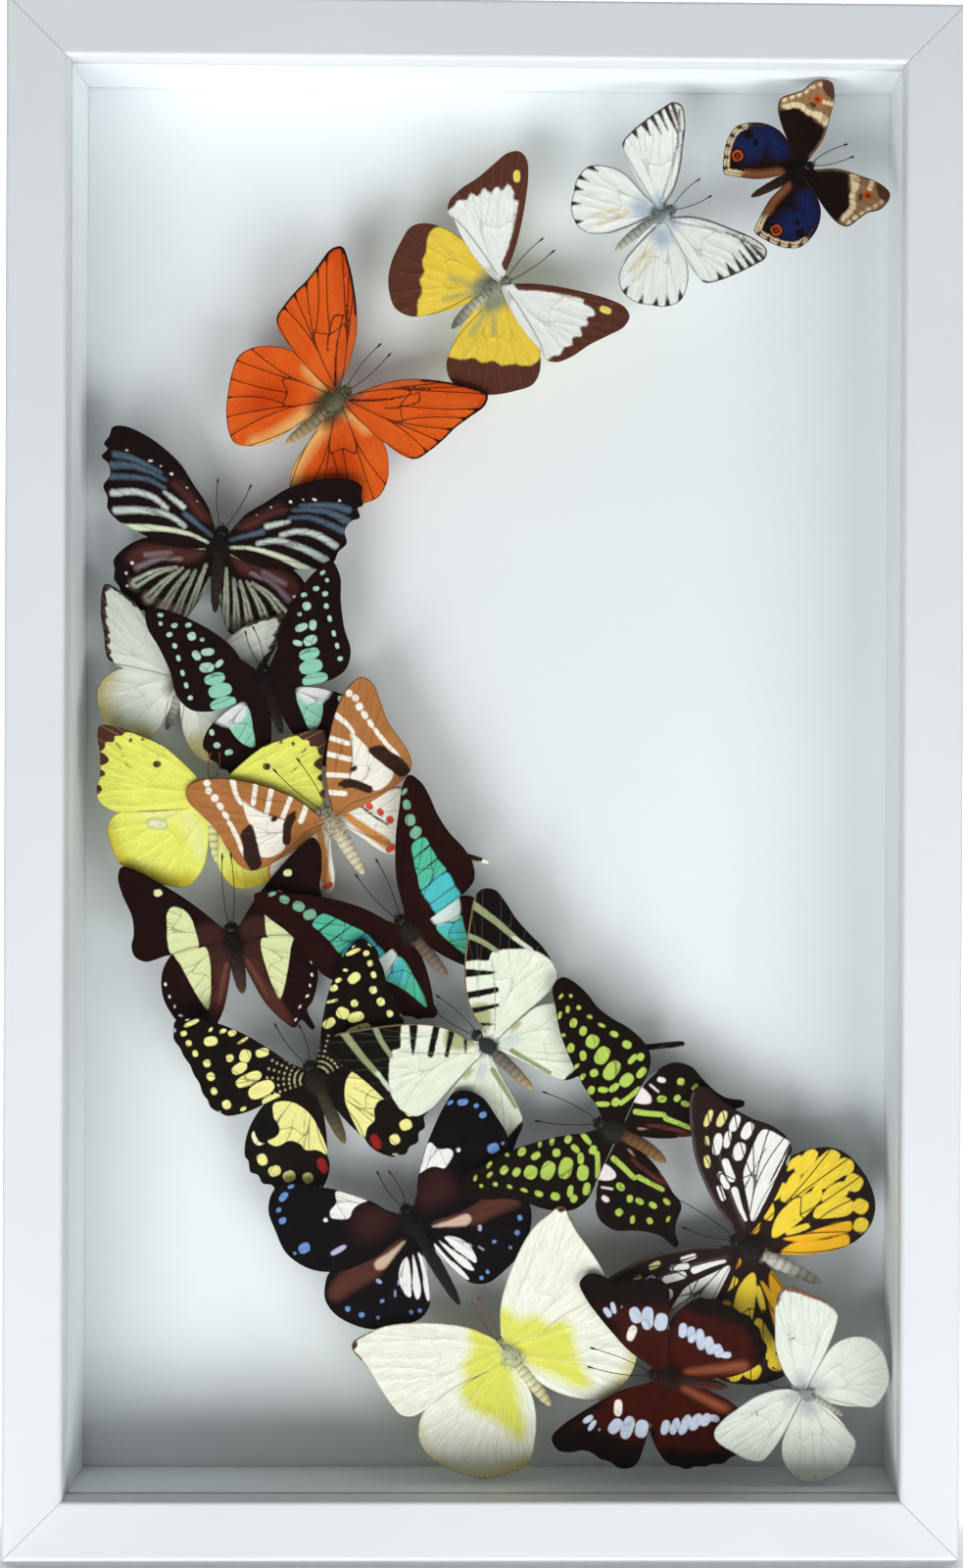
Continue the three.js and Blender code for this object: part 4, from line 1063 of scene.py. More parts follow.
JAY = Butterfly(
    "jay", "dark_wings", hind_scallop=0.8, at=(-82.4, 36.6), heading=-15, lift=20, rise=(0.17, 0),
    girth=2.6, tail=(0, -20), feelers=[(-2.5, 20), (0.5, 21)], coat=("16110f", "1a1412", "2a2220"),
    seat=(2.5, 0, 0), ground="130909", ground_too="1e100e", vein=("0e0807", 0.15, 0.5),
    worn=("5c3a34", 0.35),
    fore=[(2, 3), (5.5, 6), (8.5, 15), (13.5, 22), (18.5, 27), (24.5, 32), (31.5, 36), (35, 36.5),
        (36.5, 30), (34.5, 22), (33, 12), (33, 3), (29.5, -3), (22.5, -5.5), (13, -5), (4, -3)],
    hind=[(4, -3), (14, -5.5), (20, -8), (26, -12), (29, -17), (27.5, -23), (23, -29), (17, -34),
        (12, -36), (9, -32), (7, -24), (5, -14), (2, -6)],
    inks=[
        ink("a9cdb6", 0.13, 0.14, fore=[spots((28.2, 33, 2.2, 1.5, 20), (29, 30, 1.4, 1.6),
                (27, 25.4, 2.2, 1.8), (26.2, 21, 1.8, 2), (26.2, 16.3, 1.6, 2.3), (26.2, 10.7, 1.5, 2.3),
                (26.2, 6, 1.5, 2.2), (26, 1.2, 1.9, 1.7), (24.3, 28.1, 2.4, 1.7), (19.4, 27, 2.3, 1.6),
                (19.3, 22.8, 3.1, 3), (15.9, 20.7, 1.8, 1.5), (15.3, 15.8, 4.8, 2.7, 8),
                (19.6, 15.6, 2.7, 3.8, -20), (12.4, 10.7, 3.6, 2, -30), (17.2, 10.4, 5.2, 3.6, 10))],
            hind=[spots((22, -13, 1.8, 2.4), (21.5, -18, 2.5, 2.2), (18, -21.6, 3, 2))]),
        ink("8ac4aa", 0.13, 0.14,
            fore=[spots((15.5, 5.8, 7.6, 4.1), (14.8, 1.1, 8.6, 5), (15, -3.7, 9.6, 4.2))],
            hind=[patch((7, -7), (12, -6), (18.5, -9), (15.5, -13), (14, -17), (11.5, -20.5), (8.5, -22),
                (7, -15))]),
        ink("d9d8da", 0.9, 0.4, hind=[patch((7.5, -6), (13, -5), (19.5, -9), (15, -12.4), (9, -10.5))]),
    ],
)

LEMON_YELLOW = Butterfly(
    "lemon_yellow", "yellow_wings", at=(-102.8, -7.2), heading=1, rise=(0.063, -0.1), girth=2.6,
    tail=(2, -24), feelers=[(-0.5, 17), (2.5, 17)], feeler_coat="7a3a30",
    coat=("b9b06a", "dcd896", "d8d48c"), seat=(1.5, 7, 0), ground="dfe25a", ground_too="eaec78",
    vein=("bdb94a", 0.12, 0.4), worn=("f2f2c4", 0.4), fringe="8a6a30",
    fore=[(3.5, 6), (10.5, 13), (18.5, 19.5), (26.5, 23), (34.5, 25.5), (40.5, 26), (41.5, 23),
        (40.5, 15), (40.5, 7), (41.5, 3), (40.5, -2), (34.5, -5.5), (23.5, -5), (8.5, -4)],
    hind=[(3, -3), (20, -5), (34, -6), (37.5, -11), (36.5, -17), (33.5, -24), (27.5, -29), (18.5, -32),
        (9, -33), (4, -28), (1.5, -21), (1, -12)],
    inks=[
        ink("c9b83c", 2.4, 0.8, hind=[border(2.0, 5.0)]),
        ink("e6e894", 2.2, 1.0, hind=[spots((5, -20, 6, 20, -20)), spots((17, -13, 14, 4))]),
        ink("50302a", 0.2, 0.35, fore=[patch((22, 18.6), (24.5, 17), (27, 16.2), (29.5, 16.8),
                    (31.5, 15.2), (33.6, 15.2), (34.2, 13), (36.8, 12.8), (37.4, 10.4), (42, 9), (43, 22),
                    (30, 22)),
                patch((41, 9.6), (37.4, 8.6), (35.6, 6.4), (37.4, 4.6), (41, 4.4)),
                patch((41.5, 3.4), (38, 2.6), (37, 1.2), (38.6, 0), (42, -0.4)),
                patch((41.5, -2.4), (38.8, -3), (38, -4.6), (39, -6), (41, -6.4)), hem(0.45, 0.2, 0.5),
                spots((18.4, 5.2, 2.8, 2.5)), line(0.7, (31.4, 10.6), (33.2, 12.8), end=0.4),
                line(0.6, (27.6, 3.2), (29.8, 5.2), end=0.4),
                spots((28, 13.8, 1.3, 1.6), (23.6, 14.2, 1.4, 1.1), (30.6, 8, 1.2, 0.6))],
            hind=[spots((34.6, -25.5, 0.9), (31.5, -31.5, 1.1))]),
        ink("bdb684", 0.4, 0.3, hind=[spots((18.3, -16.8, 7.8, 4.2, 8))]),
        ink("dde0b8", 0.4, 0.3, hind=[spots((18.3, -16.8, 6.6, 3.2, 8))]),
    ],
)

SWORDTAIL = Butterfly(
    "swordtail", "brown_wings", at=(-57.4, -16.6), heading=-31, rise=(0.084, 0.038), turns=(3, 0, 0, 0),
    girth=3, tail=(0, -22), feelers=[(-8.5, 29), (1, 28)], coat=("bdb298", "d8cfb4", "cabf9e"),
    seat=(1.5, 0, 0), ground="a2683a", ground_too="b47a46", vein=("5e3820", 0.12, 0.4),
    worn=("c99a66", 0.3),
    fore=[(2.5, 5), (5.5, 14), (11, 23), (17, 30), (23.5, 36), (31, 40.5), (37, 41), (39.5, 37),
        (38.5, 30), (37, 22), (37.5, 14), (37.5, 7), (35, 2.5), (28.5, 0.5), (18, 1.5), (9, 3), (3, 2)],
    hind=[(3, 3), (13.5, 3.5), (21.5, 1.5), (28.5, -1), (31, -7), (30, -14), (28, -20), (27.6, -23.5),
        (36, -33.5), (42.5, -41.4), (42, -42.4), (35, -35.5), (25.5, -25.5), (20, -25), (14, -22),
        (10, -18), (6, -9), (2.5, -2)],
    inks=[
        ink("e9e6da", 0.3, 0.3, hind=[patch((-3, 8), (40, 8), (46, -46), (-3, -46))]),
        ink("efe9dc", 0.2, 0.25, fore=[spots((28.6, 38.2, 2.5), (29.7, 35.5, 2.5), (29.3, 32, 2.8),
                (29.4, 28.4, 2.3, 3.2), (29.6, 24.6, 2, 3.5), (30, 21, 1.7, 3.2)),
            line(1.8, (30.2, 18.8), (31, 14), (32, 10.5), (31.8, 6), end=1.2),
            line(2.2, (20.2, 33.8), (22, 29), (22.5, 25), end=1.3), line(1.8, (12.8, 29.2), (18.7, 22.6)),
            line(1.9, (9.2, 24.2), (16.2, 17.3)), line(1.8, (4.8, 17.6), (12.7, 12.3)),
            line(2.0, (2.4, 11.4), (8, 7.4)), patch((21.4, 25.5), (23.6, 20), (24.6, 13), (27.8, 5.5),
            (24, 2.4), (18.3, 2.6), (16, 7), (12.6, 10.4), (15, 13.5), (18, 18.5), (20, 22.5))]),
        ink("c98a48", 0.5, 0.4,
            hind=[line(2.4, (3.4, 3), (6, -4), (11.5, -16), end=4.0), hem(0.9, 0.0, 0.35)]),
        ink("33201b", 0.3, 0.4, fore=[patch((23.8, 16.8), (29.2, 15.6), (30.4, 12), (32.4, 9),
                    (33.4, 5.6), (33, 2), (29, 2), (27.6, 5), (25.6, 10)),
                line(0.35, (11.6, 10.2), (17, 17), (21.6, 25)),
                spots((15.6, 13.6, 2.9, 1.9), (8.5, 11.3, 2.1, 1.5)),
                line(3.4, (10, 10.4), (12.6, 9), (16.5, 4.2), end=3.0), hem(0.3, 0.0, 0.4)],
            hind=[line(0.8, (10.4, 2.6), (12, -3), (15.6, -10.4)), spots((11, 0.6, 1.4, 2.2)),
            patch((24, -16), (29.5, -13), (28.5, -24), (42.5, -43), (22.5, -27), (16.5, -25),
                (18.5, -21))]),
        ink("d2503a", 0.2, 0.3, hind=[spots((12.4, 3.2, 3.4, 2.2, -40), (13.4, -1.2, 2.6, 3),
            (15.8, -5.2, 2.4, 3), (17.4, -9.4, 2.8, 3), (12, -18.6, 4, 2.6))]),
        ink("ece8de", 0.15, 0.1, hind=[spots((40, -41, 3.4, 2.4, -45))]),
    ],
)

NAWAB = Butterfly(
    "nawab", "dark_wings", at=(-94.6, -60.7), heading=-9, rise=(0.124, 0), girth=3.2, tail=(0, -20),
    feelers=[(1.5, 33), (4.5, 33)], coat=("1c1310", "2c201a", "4a382c"), seat=(-0.5, 0, 0),
    ground="170a0a", ground_too="220f0e", vein=("0e0606", 0.15, 0.4), worn=("6a4438", 0.3),
    fore=[(3.5, 6), (9.5, 13), (16.5, 20), (23.5, 26), (30, 31), (35.5, 33.5), (37.5, 30), (37, 23),
        (35, 15), (35.5, 8), (37, 4), (36.5, 0), (33, -2.5), (25, -1.5), (15, 0), (4, 0)],
    hind=[(4, 1.6), (14, 2.2), (22, -0.5), (27.5, -7), (29, -16), (27.5, -22), (25, -27), (22.8, -29.5),
        (24.5, -36.8), (23.3, -37.2), (20, -33), (17, -35.5), (13, -32), (8, -25), (4.5, -16), (2, -8)],
    inks=[
        ink("3c221f", 1.5, 0.8, fore=[patch((4, 6), (13, 7), (13, -1), (4, -1))],
            hind=[patch((3, 0), (11, -1), (10, -10), (3, -10))]),
        ink("4c2a22", 1.2, 0.8, hind=[patch((3, -8), (8, -9), (11, -16), (15, -26), (17, -34), (12, -31),
            (6, -22), (3, -15))]),
        ink("6e4a3c", 0.8, 0.6, hind=[line(0.9, (4.5, -8), (7, -15), (9.5, -22), end=0.4)]),
        ink("d5dba4", 0.22, 0.3, fore=[spots((24.6, 22, 3.1, 2.6)), patch((20.5, 16), (17.3, 15),
                (14.8, 12), (13.5, 6), (13.8, -1), (23.3, -1.5), (24.3, 3), (23.4, 9), (22.6, 14))],
            hind=[patch((22.8, -0.6), (21, -6), (18.6, -13.5), (16, -20.5), (14, -23.8), (12.2, -19),
            (10.8, -11), (10.3, -6), (11.2, -0.6))]),
        ink("eeece0", 0.12, 0.15, hind=[spots((27.8, -12, 0.9, 1.5), (27.1, -16.8, 0.9, 1.6),
            (25.8, -20.7, 0.8, 1.4), (24.2, -24.4, 1.6, 0.8, 30), (20.8, -28, 1.8, 0.7, 50),
            (18.4, -32.6, 1.4, 0.7, 40))]),
    ],
)

BLUEBOTTLE = Butterfly(
    "bluebottle", "dark_wings", hind_scallop=0.6, at=(-28.3, -57.3), heading=-39, rise=(0.149, 0),
    turns=(-2, 0, 0, 0), girth=3, head=8, tail=(0, -22), feelers=[(-1.9, 30), (7.6, 29.7)],
    coat=("2e2622", "6a5a4c", "8a7a6a"), seat=(2, 0, 3), ground="1d0b0a", ground_too="29110f",
    vein=("120807", 0.16, 0.6), worn=("5a3830", 0.3),
    fore=[(3.4, 7.8), (8, 17.6), (13.4, 25.3), (19.8, 32.5), (26.2, 38.6), (32.5, 44.3), (36.6, 45.6),
        (38.3, 41), (37.5, 35), (35.6, 28.1), (34.7, 20.1), (35.2, 12.1), (34.4, 6.1), (31.1, 0.8),
        (26, -0.9), (14, -0.8), (4, -0.2)],
    hind=[(4, 0), (14, 0), (24, -1.5), (27, -6), (26, -13), (23, -20), (19, -26), (14, -30), (11, -30),
        (10, -24), (8, -14), (4, -6)],
    inks=[
        ink("78a88c", 0.16, 0.15, fore=[spots((27, 43.4, 3, 1.5, 15), (25, 39, 2.8, 3.7, -25),
            (22.7, 33.7, 3.7, 4.3, -30), (21.6, 28.8, 4.8, 3.7, 20))]),
        ink("52b496", 0.2, 0.2, fore=[patch((18, 26), (23.2, 25.4), (22.8, 21), (22.4, 16), (22, 10),
                (10.8, 10), (12.8, 16), (15, 21))],
            hind=[patch((7, -4), (12, -5), (17, -5.5), (15, -11), (13.5, -17), (12.2, -25), (10.5, -22),
            (8.5, -15))]),
        ink("4fb9bd", 0.4, 0.3,
            fore=[patch((10.8, 10.4), (22, 10.4), (21.6, 4), (20.8, -0.8), (10.4, -0.8), (10.2, 5))],
            hind=[patch((7.5, -4), (12, -5), (15.5, -7), (13.5, -12), (11, -13.5), (9, -10))]),
        ink("1c0c0b", 0.2, 0.2, fore=[line(0.5, (14, 21.4), (24, 22), end=0.9),
            line(0.45, (11, 15.8), (24, 16.4), end=0.8), line(0.4, (9, 10.2), (24, 10.6), end=0.7),
            line(0.4, (9, 4.2), (24, 4.4), end=0.6)]),
        ink("cfdcd6", 0.5, 0.3,
            hind=[patch((7.6, 0.5), (14, 0.5), (20, 0.5), (18, -4), (15.5, -6), (11, -5), (7.6, -3.6))]),
    ],
)


def speck(far, turn):
    """A small oval at a distance and an angle from the wing's root."""
    angle = math.radians(turn)
    return 1.5 + far * math.cos(angle), 1 + far * math.sin(angle), 0.8, 1.1, turn


LIME = Butterfly(
    "lime", "dark_wings", fore_scallop=0.5, hind_scallop=1.3, at=(-63.5, -113.1), heading=-24,
    rise=(0.107, 0), girth=3.2, head=8, tail=(0, -26), feelers=[(-5, 26), (2.9, 22)],
    coat=("2a241c", "3a3226", "6a5e44"), ground="0e0b08", ground_too="17110c", vein=("0b0805", 0.16, 0.6),
    worn=("4a4030", 0.3),
    fore=[(3, 4), (7, 12), (12.5, 21), (18.5, 29), (25, 35.5), (32, 40.5), (37.5, 41.5), (40.5, 37),
        (40, 28), (39.5, 20), (39.5, 12), (39, 7), (35.5, 2), (28.5, 0), (18, 0), (5, 0)],
    hind=[(4, 1.8), (15, 2), (23.5, -1.5), (30.5, -7), (35, -14), (36, -20), (33.5, -27), (28, -34),
        (22, -38), (16, -38.5), (11, -35), (8, -30), (7.5, -20), (5, -10)],
    inks=[
        ink("bdb88c", 0.15, 0.2, fore=[spots(
            *(speck(far, turn) for far in range(4, 17, 2) for turn in range(4, 76, 12)))]),
        ink("e9e392", 0.16, 0.22, fore=[spots((32.4, 38.4, 5.8, 1.6), (36.6, 36, 2.3, 2),
                (36.4, 32, 2.1, 2.3), (35.8, 27.6, 2, 2.5), (33.4, 22.5, 2.7, 2.8),
                (34.2, 17.4, 2.9, 3.1), (35.4, 12, 2.3, 2.7), (33.3, 5.5, 3.1, 3.4),
                (28.4, 1.5, 2.4, 1.5), (28.8, 29.4, 5, 3.5, 16), (27, 33.4, 2, 1.1, -30),
                (23.2, 31, 2.6, 1.6), (20.4, 29, 3.1, 2.3), (18, 24.8, 4.6, 1.1, -10),
                (25, 20.8, 2.7, 2.7), (19.6, 19.2, 4.2, 4.8, 40), (13.4, 17.8, 5, 3.3, 10),
                (23.4, 15.9, 6, 3.7, -8), (22, 10.8, 10, 4.3, -2), (19.4, 5.4, 10, 5.6, -3),
                (17.6, 0.6, 7.2, 2.8))],
            hind=[patch((17.5, -1.4), (11.2, -3.6), (7.2, -10), (6.4, -17), (7.4, -27), (10, -24),
                (14, -22), (15, -19), (18, -16.4), (23, -16.4), (25.4, -13.4), (20.4, -11), (19.8, -7)),
            spots((30, -18.7, 3.6, 4.5), (27.6, -24.5, 4.6, 4), (23.6, -28.6, 4.6, 4.2),
            (17.6, -32, 3.8, 4))]),
        ink("0f0c0a", 0.2, 0.2, hind=[spots((23.3, -9, 8.2)), line(0.25, (8, -8), (14.4, -21)),
            line(0.25, (12, -8), (17.5, -15))]),
        ink("8e1f1c", 0.25, 0.2, hind=[spots((10.8, -30, 3.4, 6))]),
        ink("ebe8c4", 0.14, 0.15, fore=[lunules(0.25, 1.6, 0.5)],
            hind=[lunules(0.3, 2.6, 0.7), without(spots((27.6, -10.6, 5, 6)), spots((26, -10, 5, 7)))]),
    ],
)

FIVEBAR = Butterfly(
    "fivebar", "pale_wings", at=(0.7, -99.5), heading=-45, rise=(0.143, 0), girth=2.8, tail=(0, -24),
    feelers=[(-4.5, 24), (0, 27)], coat=("3a3f44", "6f6a60", "b09a72"), fur=1100, seat=(-1, 0, 0),
    ground="dbe2cc", ground_too="e6ebda", vein=("6e705e", 0.12, 0.3), worn=("cdd2be", 0.2),
    fringe="2a221c",
    fore=[(3, 4), (4.5, 12), (8, 19), (14, 26), (21, 32), (29, 38), (36, 42.5), (40, 42.5), (43, 39),
        (42.5, 33), (41, 26), (40.5, 18), (40.5, 12), (39, 5), (37, 0), (31, -2), (19, -1.5), (7, -1)],
    hind=[(4, -1), (15, -1.5), (24, -3), (30, -8), (33, -16), (33, -24), (31.5, -30), (41, -41),
        (52.4, -51.4), (51.6, -52.4), (39.6, -42.4), (28, -34), (22, -35), (17, -33), (11, -30), (8, -24),
        (5, -14), (2, -5)],
    inks=[
        ink("a9ad7e", 0.8, 0.6, fore=[patch((4, 4), (4.4, 11), (7, 15), (12, 11), (8, 5))],
            hind=[spots((13.5, -2.4, 5, 2.2))]),
        ink("c4cdca", 1.4, 0.6, hind=[spots((9, -5.5, 7, 4, -30))]),
        ink("120d0c", 0.3, 0.5, fore=[patch((13, 26.5), (16.5, 28), (20, 26), (24, 22.2), (26.5, 23.4),
                    (30, 21.5), (34, 18), (37.6, 14), (39.2, 10.5), (40.6, 5.5), (44, 6), (46, 24),
                    (46, 44), (34, 46), (22, 37)),
                line(3.4, (14.2, 25), (22.2, 17.4), end=1.0), line(2.7, (8.6, 18.6), (18, 12.4), end=2.2),
                line(2.3, (6, 13.2), (14.2, 8), end=1.4), line(1.5, (4.6, 7.6), (8.4, 3.8), end=0.6)],
            hind=[patch((29, -29), (33, -23), (35, -18), (36, -30), (57, -54), (40, -45), (26, -38),
            (12, -33), (11, -30), (22, -30))]),
        ink("8f9a72", 0.25, 0.25, fore=[line(2.8, (34.5, 40.6), (36, 30), (36.6, 21), end=2.0),
                line(2.1, (24.6, 35), (27, 29), (28.4, 22.6), end=1.7)],
            hind=[line(2.0, (6, -8), (10, -24), end=1.4)]),
        ink("c9d0b8", 0.25, 0.3, fore=[line(1.6, (36.4, 21.5), (37.6, 14))]),
        ink("8c7a58", 0.2, 0.15, fore=[hem(0.6, 0.02, 0.4), line(0.4, (7, 2), (17, 12), (25, 21.6))]),
    ],
)

MAGPIE = Butterfly(
    "magpie", "dark_wings", at=(-27.1, -165.9), heading=-28, rise=(0.017, 0), spread=0.055, girth=3,
    tail=(1, -36), feelers=[(-2.8, 23), (1.1, 21)], coat=("120e10", "191416", "211b1e"), seat=(1, 0, 3),
    ground="080508", ground_too="100a0e", vein=("060406", 0.15, 0.4), worn=("3a2a30", 0.3),
    fore=[(4.2, 3.8), (8.8, 12.5), (15.2, 20.1), (22.6, 26.7), (30, 32.3), (36.2, 35.4), (41, 33.6),
        (44.8, 28.4), (45.8, 21.3), (46.3, 12.8), (44.6, 7.7), (41, 2.4), (35.2, -1.9), (27.3, -4.4),
        (17.3, -5), (5, -2.7)],
    hind=[(5, -3), (20, -3), (35.2, -1.9), (39.4, -5.7), (41.7, -10.5), (41, -16.6), (37.4, -22.8),
        (31.7, -28.2), (23, -31.7), (14, -33.2), (8.8, -30.5), (5.4, -23.7), (2.8, -13.9)],
    inks=[
        ink("341a1a", 3.0, 1.0, fore=[patch((3, 4), (8, 12), (15, 14), (20, 8), (16, 2))]),
        ink("563128", 1.4, 0.9,
            hind=[patch((6, -4), (20, -3), (32, -3), (39, -7), (38, -10.5), (30, -10.5), (20, -10.5))]),
        ink("efece8", 0.2, 0.2, fore=[patch((8, 15.4), (11, 19.4), (14.5, 23.4), (17.6, 24), (19.2, 20.6),
                (23, 19), (23.6, 17), (21, 14.5), (18, 13.3), (15.5, 15.2), (13, 15.8)),
            spots((25.8, 17.2, 1.6))]),
        ink("1a1012", 0.2, 0.2, fore=[line(0.5, (9, 15.4), (12.4, 19.6), (15.6, 24))]),
        ink("cdb39c", 0.5, 0.5,
            hind=[patch((5, -4.8), (12, -5.4), (19, -6), (19.2, -8.5), (17, -9.5), (11, -7.5))]),
        ink("eeeae8", 0.22, 0.3, hind=[patch((7.5, -10.2), (11, -11.8), (14.2, -16), (14.9, -22),
                (14, -23.8), (11.4, -20), (8.4, -14)),
            patch((5, -10.6), (8.2, -16), (11.5, -21.8), (12.2, -26), (10, -24.6), (7, -18)),
            patch((3, -10.8), (5.4, -18), (8.2, -24), (9, -28.5), (7.4, -27.6), (4.6, -21), (2.4, -14)),
            line(0.6, (2, -12), (4, -22), end=1.0)]),
        ink("6c95cf", 0.2, 0.2, fore=[spots((30.3, 34.4, 2.6, 1.3, 10), (34.7, 32.6, 4, 2.4, -15),
                (38.7, 29.3, 2, 1.6), (39.5, 25.2, 2.8, 2.2), (37.8, 12.4, 4.4, 3.6), (41.8, 12.6, 1.3),
                (42.6, 8, 0.9))],
            hind=[spots((23.5, -19.5, 1.7, 1.3), (32.6, -20, 2), (35.8, -15.4, 1.8, 2.1),
            (13.5, -29.8, 1.6), (16.5, -28.7, 1.3, 1.7), (28, -24, 1.3))]),
        ink("b9b4dc", 0.2, 0.2, left_fore=[spots((27.5, 5.2, 6.4, 2, 2))], hind=[
            line(0.7, (17.4, -18.6), (18.6, -20.6)),
            spots((14.8, -16.8, 1, 2, 30), (20.8, -12.6, 1.4, 2.4, -20))]),
    ],
)

TAILED_JAY = Butterfly(
    "tailed_jay", "dark_wings", at=(48.5, -131.3), heading=-65, rise=(0.093, 0), spread=0.064, girth=3.2,
    head=8, tail=(-3, -23), feelers=[(-9, 28.5), (2, 30.5)], coat=("2a2a24", "6e4a30", "8a6640"),
    seat=(3, 0, 0), ground="0f0a08", ground_too="1a100c", vein=("0d0906", 0.15, 0.5),
    worn=("4a3a2e", 0.3),
    fore=[(4, 6), (8, 14), (13, 21), (19, 28), (25, 34), (32, 39), (39, 43.5), (43.5, 42), (44, 38),
        (42, 31), (39, 25), (37.5, 18), (37, 12), (35, 5), (32, 0.5), (27, -2), (17, -2), (5, -2)],
    hind=[(5, -2), (17, -2), (25, -4), (32, -9), (33.5, -16), (31, -22), (29, -28), (28.5, -33),
        (30, -39.5), (28.4, -40.2), (25.5, -37.5), (22, -36), (15, -35), (12, -30), (9, -22), (6, -10),
        (3, -4)],
    inks=[
        ink("b0c95a", 0.16, 0.16, fore=[spots((34, 39.2, 2.4, 1.1, -10), (27.5, 36.6, 3, 1.3, 10),
                    (30.7, 34.9, 2.8, 1.5, 20), (35.7, 36, 1.3, 1.4), (33, 31.5, 1.6, 1.8),
                    (27, 30.8, 3.5, 2.7, 10), (21.4, 32.2, 1.4, 1.6), (18.2, 27.7, 3.6, 2.7, 10),
                    (25.8, 26.3, 3.5, 2.7, 10), (31.6, 26.4, 1.4, 2.1), (17.4, 22.4, 3.8, 2.6, 30),
                    (13, 22.8, 2.5, 1.3, -20), (23.7, 21.5, 5.1, 4.8), (30.6, 21, 1.3, 2.9),
                    (10.2, 19.2, 3, 1.7, -10), (13.3, 15.9, 3.1, 2.9, -30), (20.5, 16, 7, 5, -5),
                    (29.6, 15.4, 2.1, 3.3), (7, 14.1, 3.2, 2.6), (9, 10.2, 2.2, 3.7, 20),
                    (17, 10.4, 8, 5, -10), (28, 9.4, 2.9, 3.5), (4, 8.2, 2, 5.8, 25),
                    (11.5, 6.8, 4.3, 2.4, -25), (24, 5.2, 4.5, 2.1, -15), (6.8, 4, 3.4, 2.8),
                    (16, 3.8, 5.7, 4.3, -20), (26, 2.8, 3, 2.6), (20.8, 0, 4.7, 2.7, -15)),
                line(1.8, (7.3, 2), (11, 0), (15, -1.7))],
            hind=[line(2.2, (6.6, -4.4), (8, -9), (10, -14.4), end=1.9),
            line(2.0, (9, -15.8), (9.6, -26), end=1.7), spots((15, -11.2, 2.6, 3.6, 20),
            (23.8, -14.8, 2.8, 2.7, 20), (17.6, -16.3, 2.8, 2.3, -20), (17, -20, 2.1, 3.4, 10),
            (24.2, -20.5, 3, 1.7, -20), (22, -26.6, 2.1, 2.6, 30), (16.3, -25.2, 2.1, 3.4, 10),
            (13, -29.4, 1.8, 3.2, 20), (18.6, -32.6, 2.4, 1.3))]),
        ink("ecdfe0", 0.25, 0.25, hind=[patch((10, -1), (15.6, -1.4), (14.2, -7), (12, -8), (10.3, -5.5)),
            line(0.8, (18, -5), (17, -8.8)), spots((21.4, -8, 2, 3.2, 10)), hem(0.3, 0.0, 0.2)]),
        ink("c9a890", 0.3, 0.3, hind=[line(0.9, (1.4, -8), (4, -20), (5, -27), end=0.6)]),
        ink("5a2c22", 0.5, 0.5, hind=[line(1.4, (4, -11), (6.4, -20), (7, -27), end=1.8)]),
    ],
)

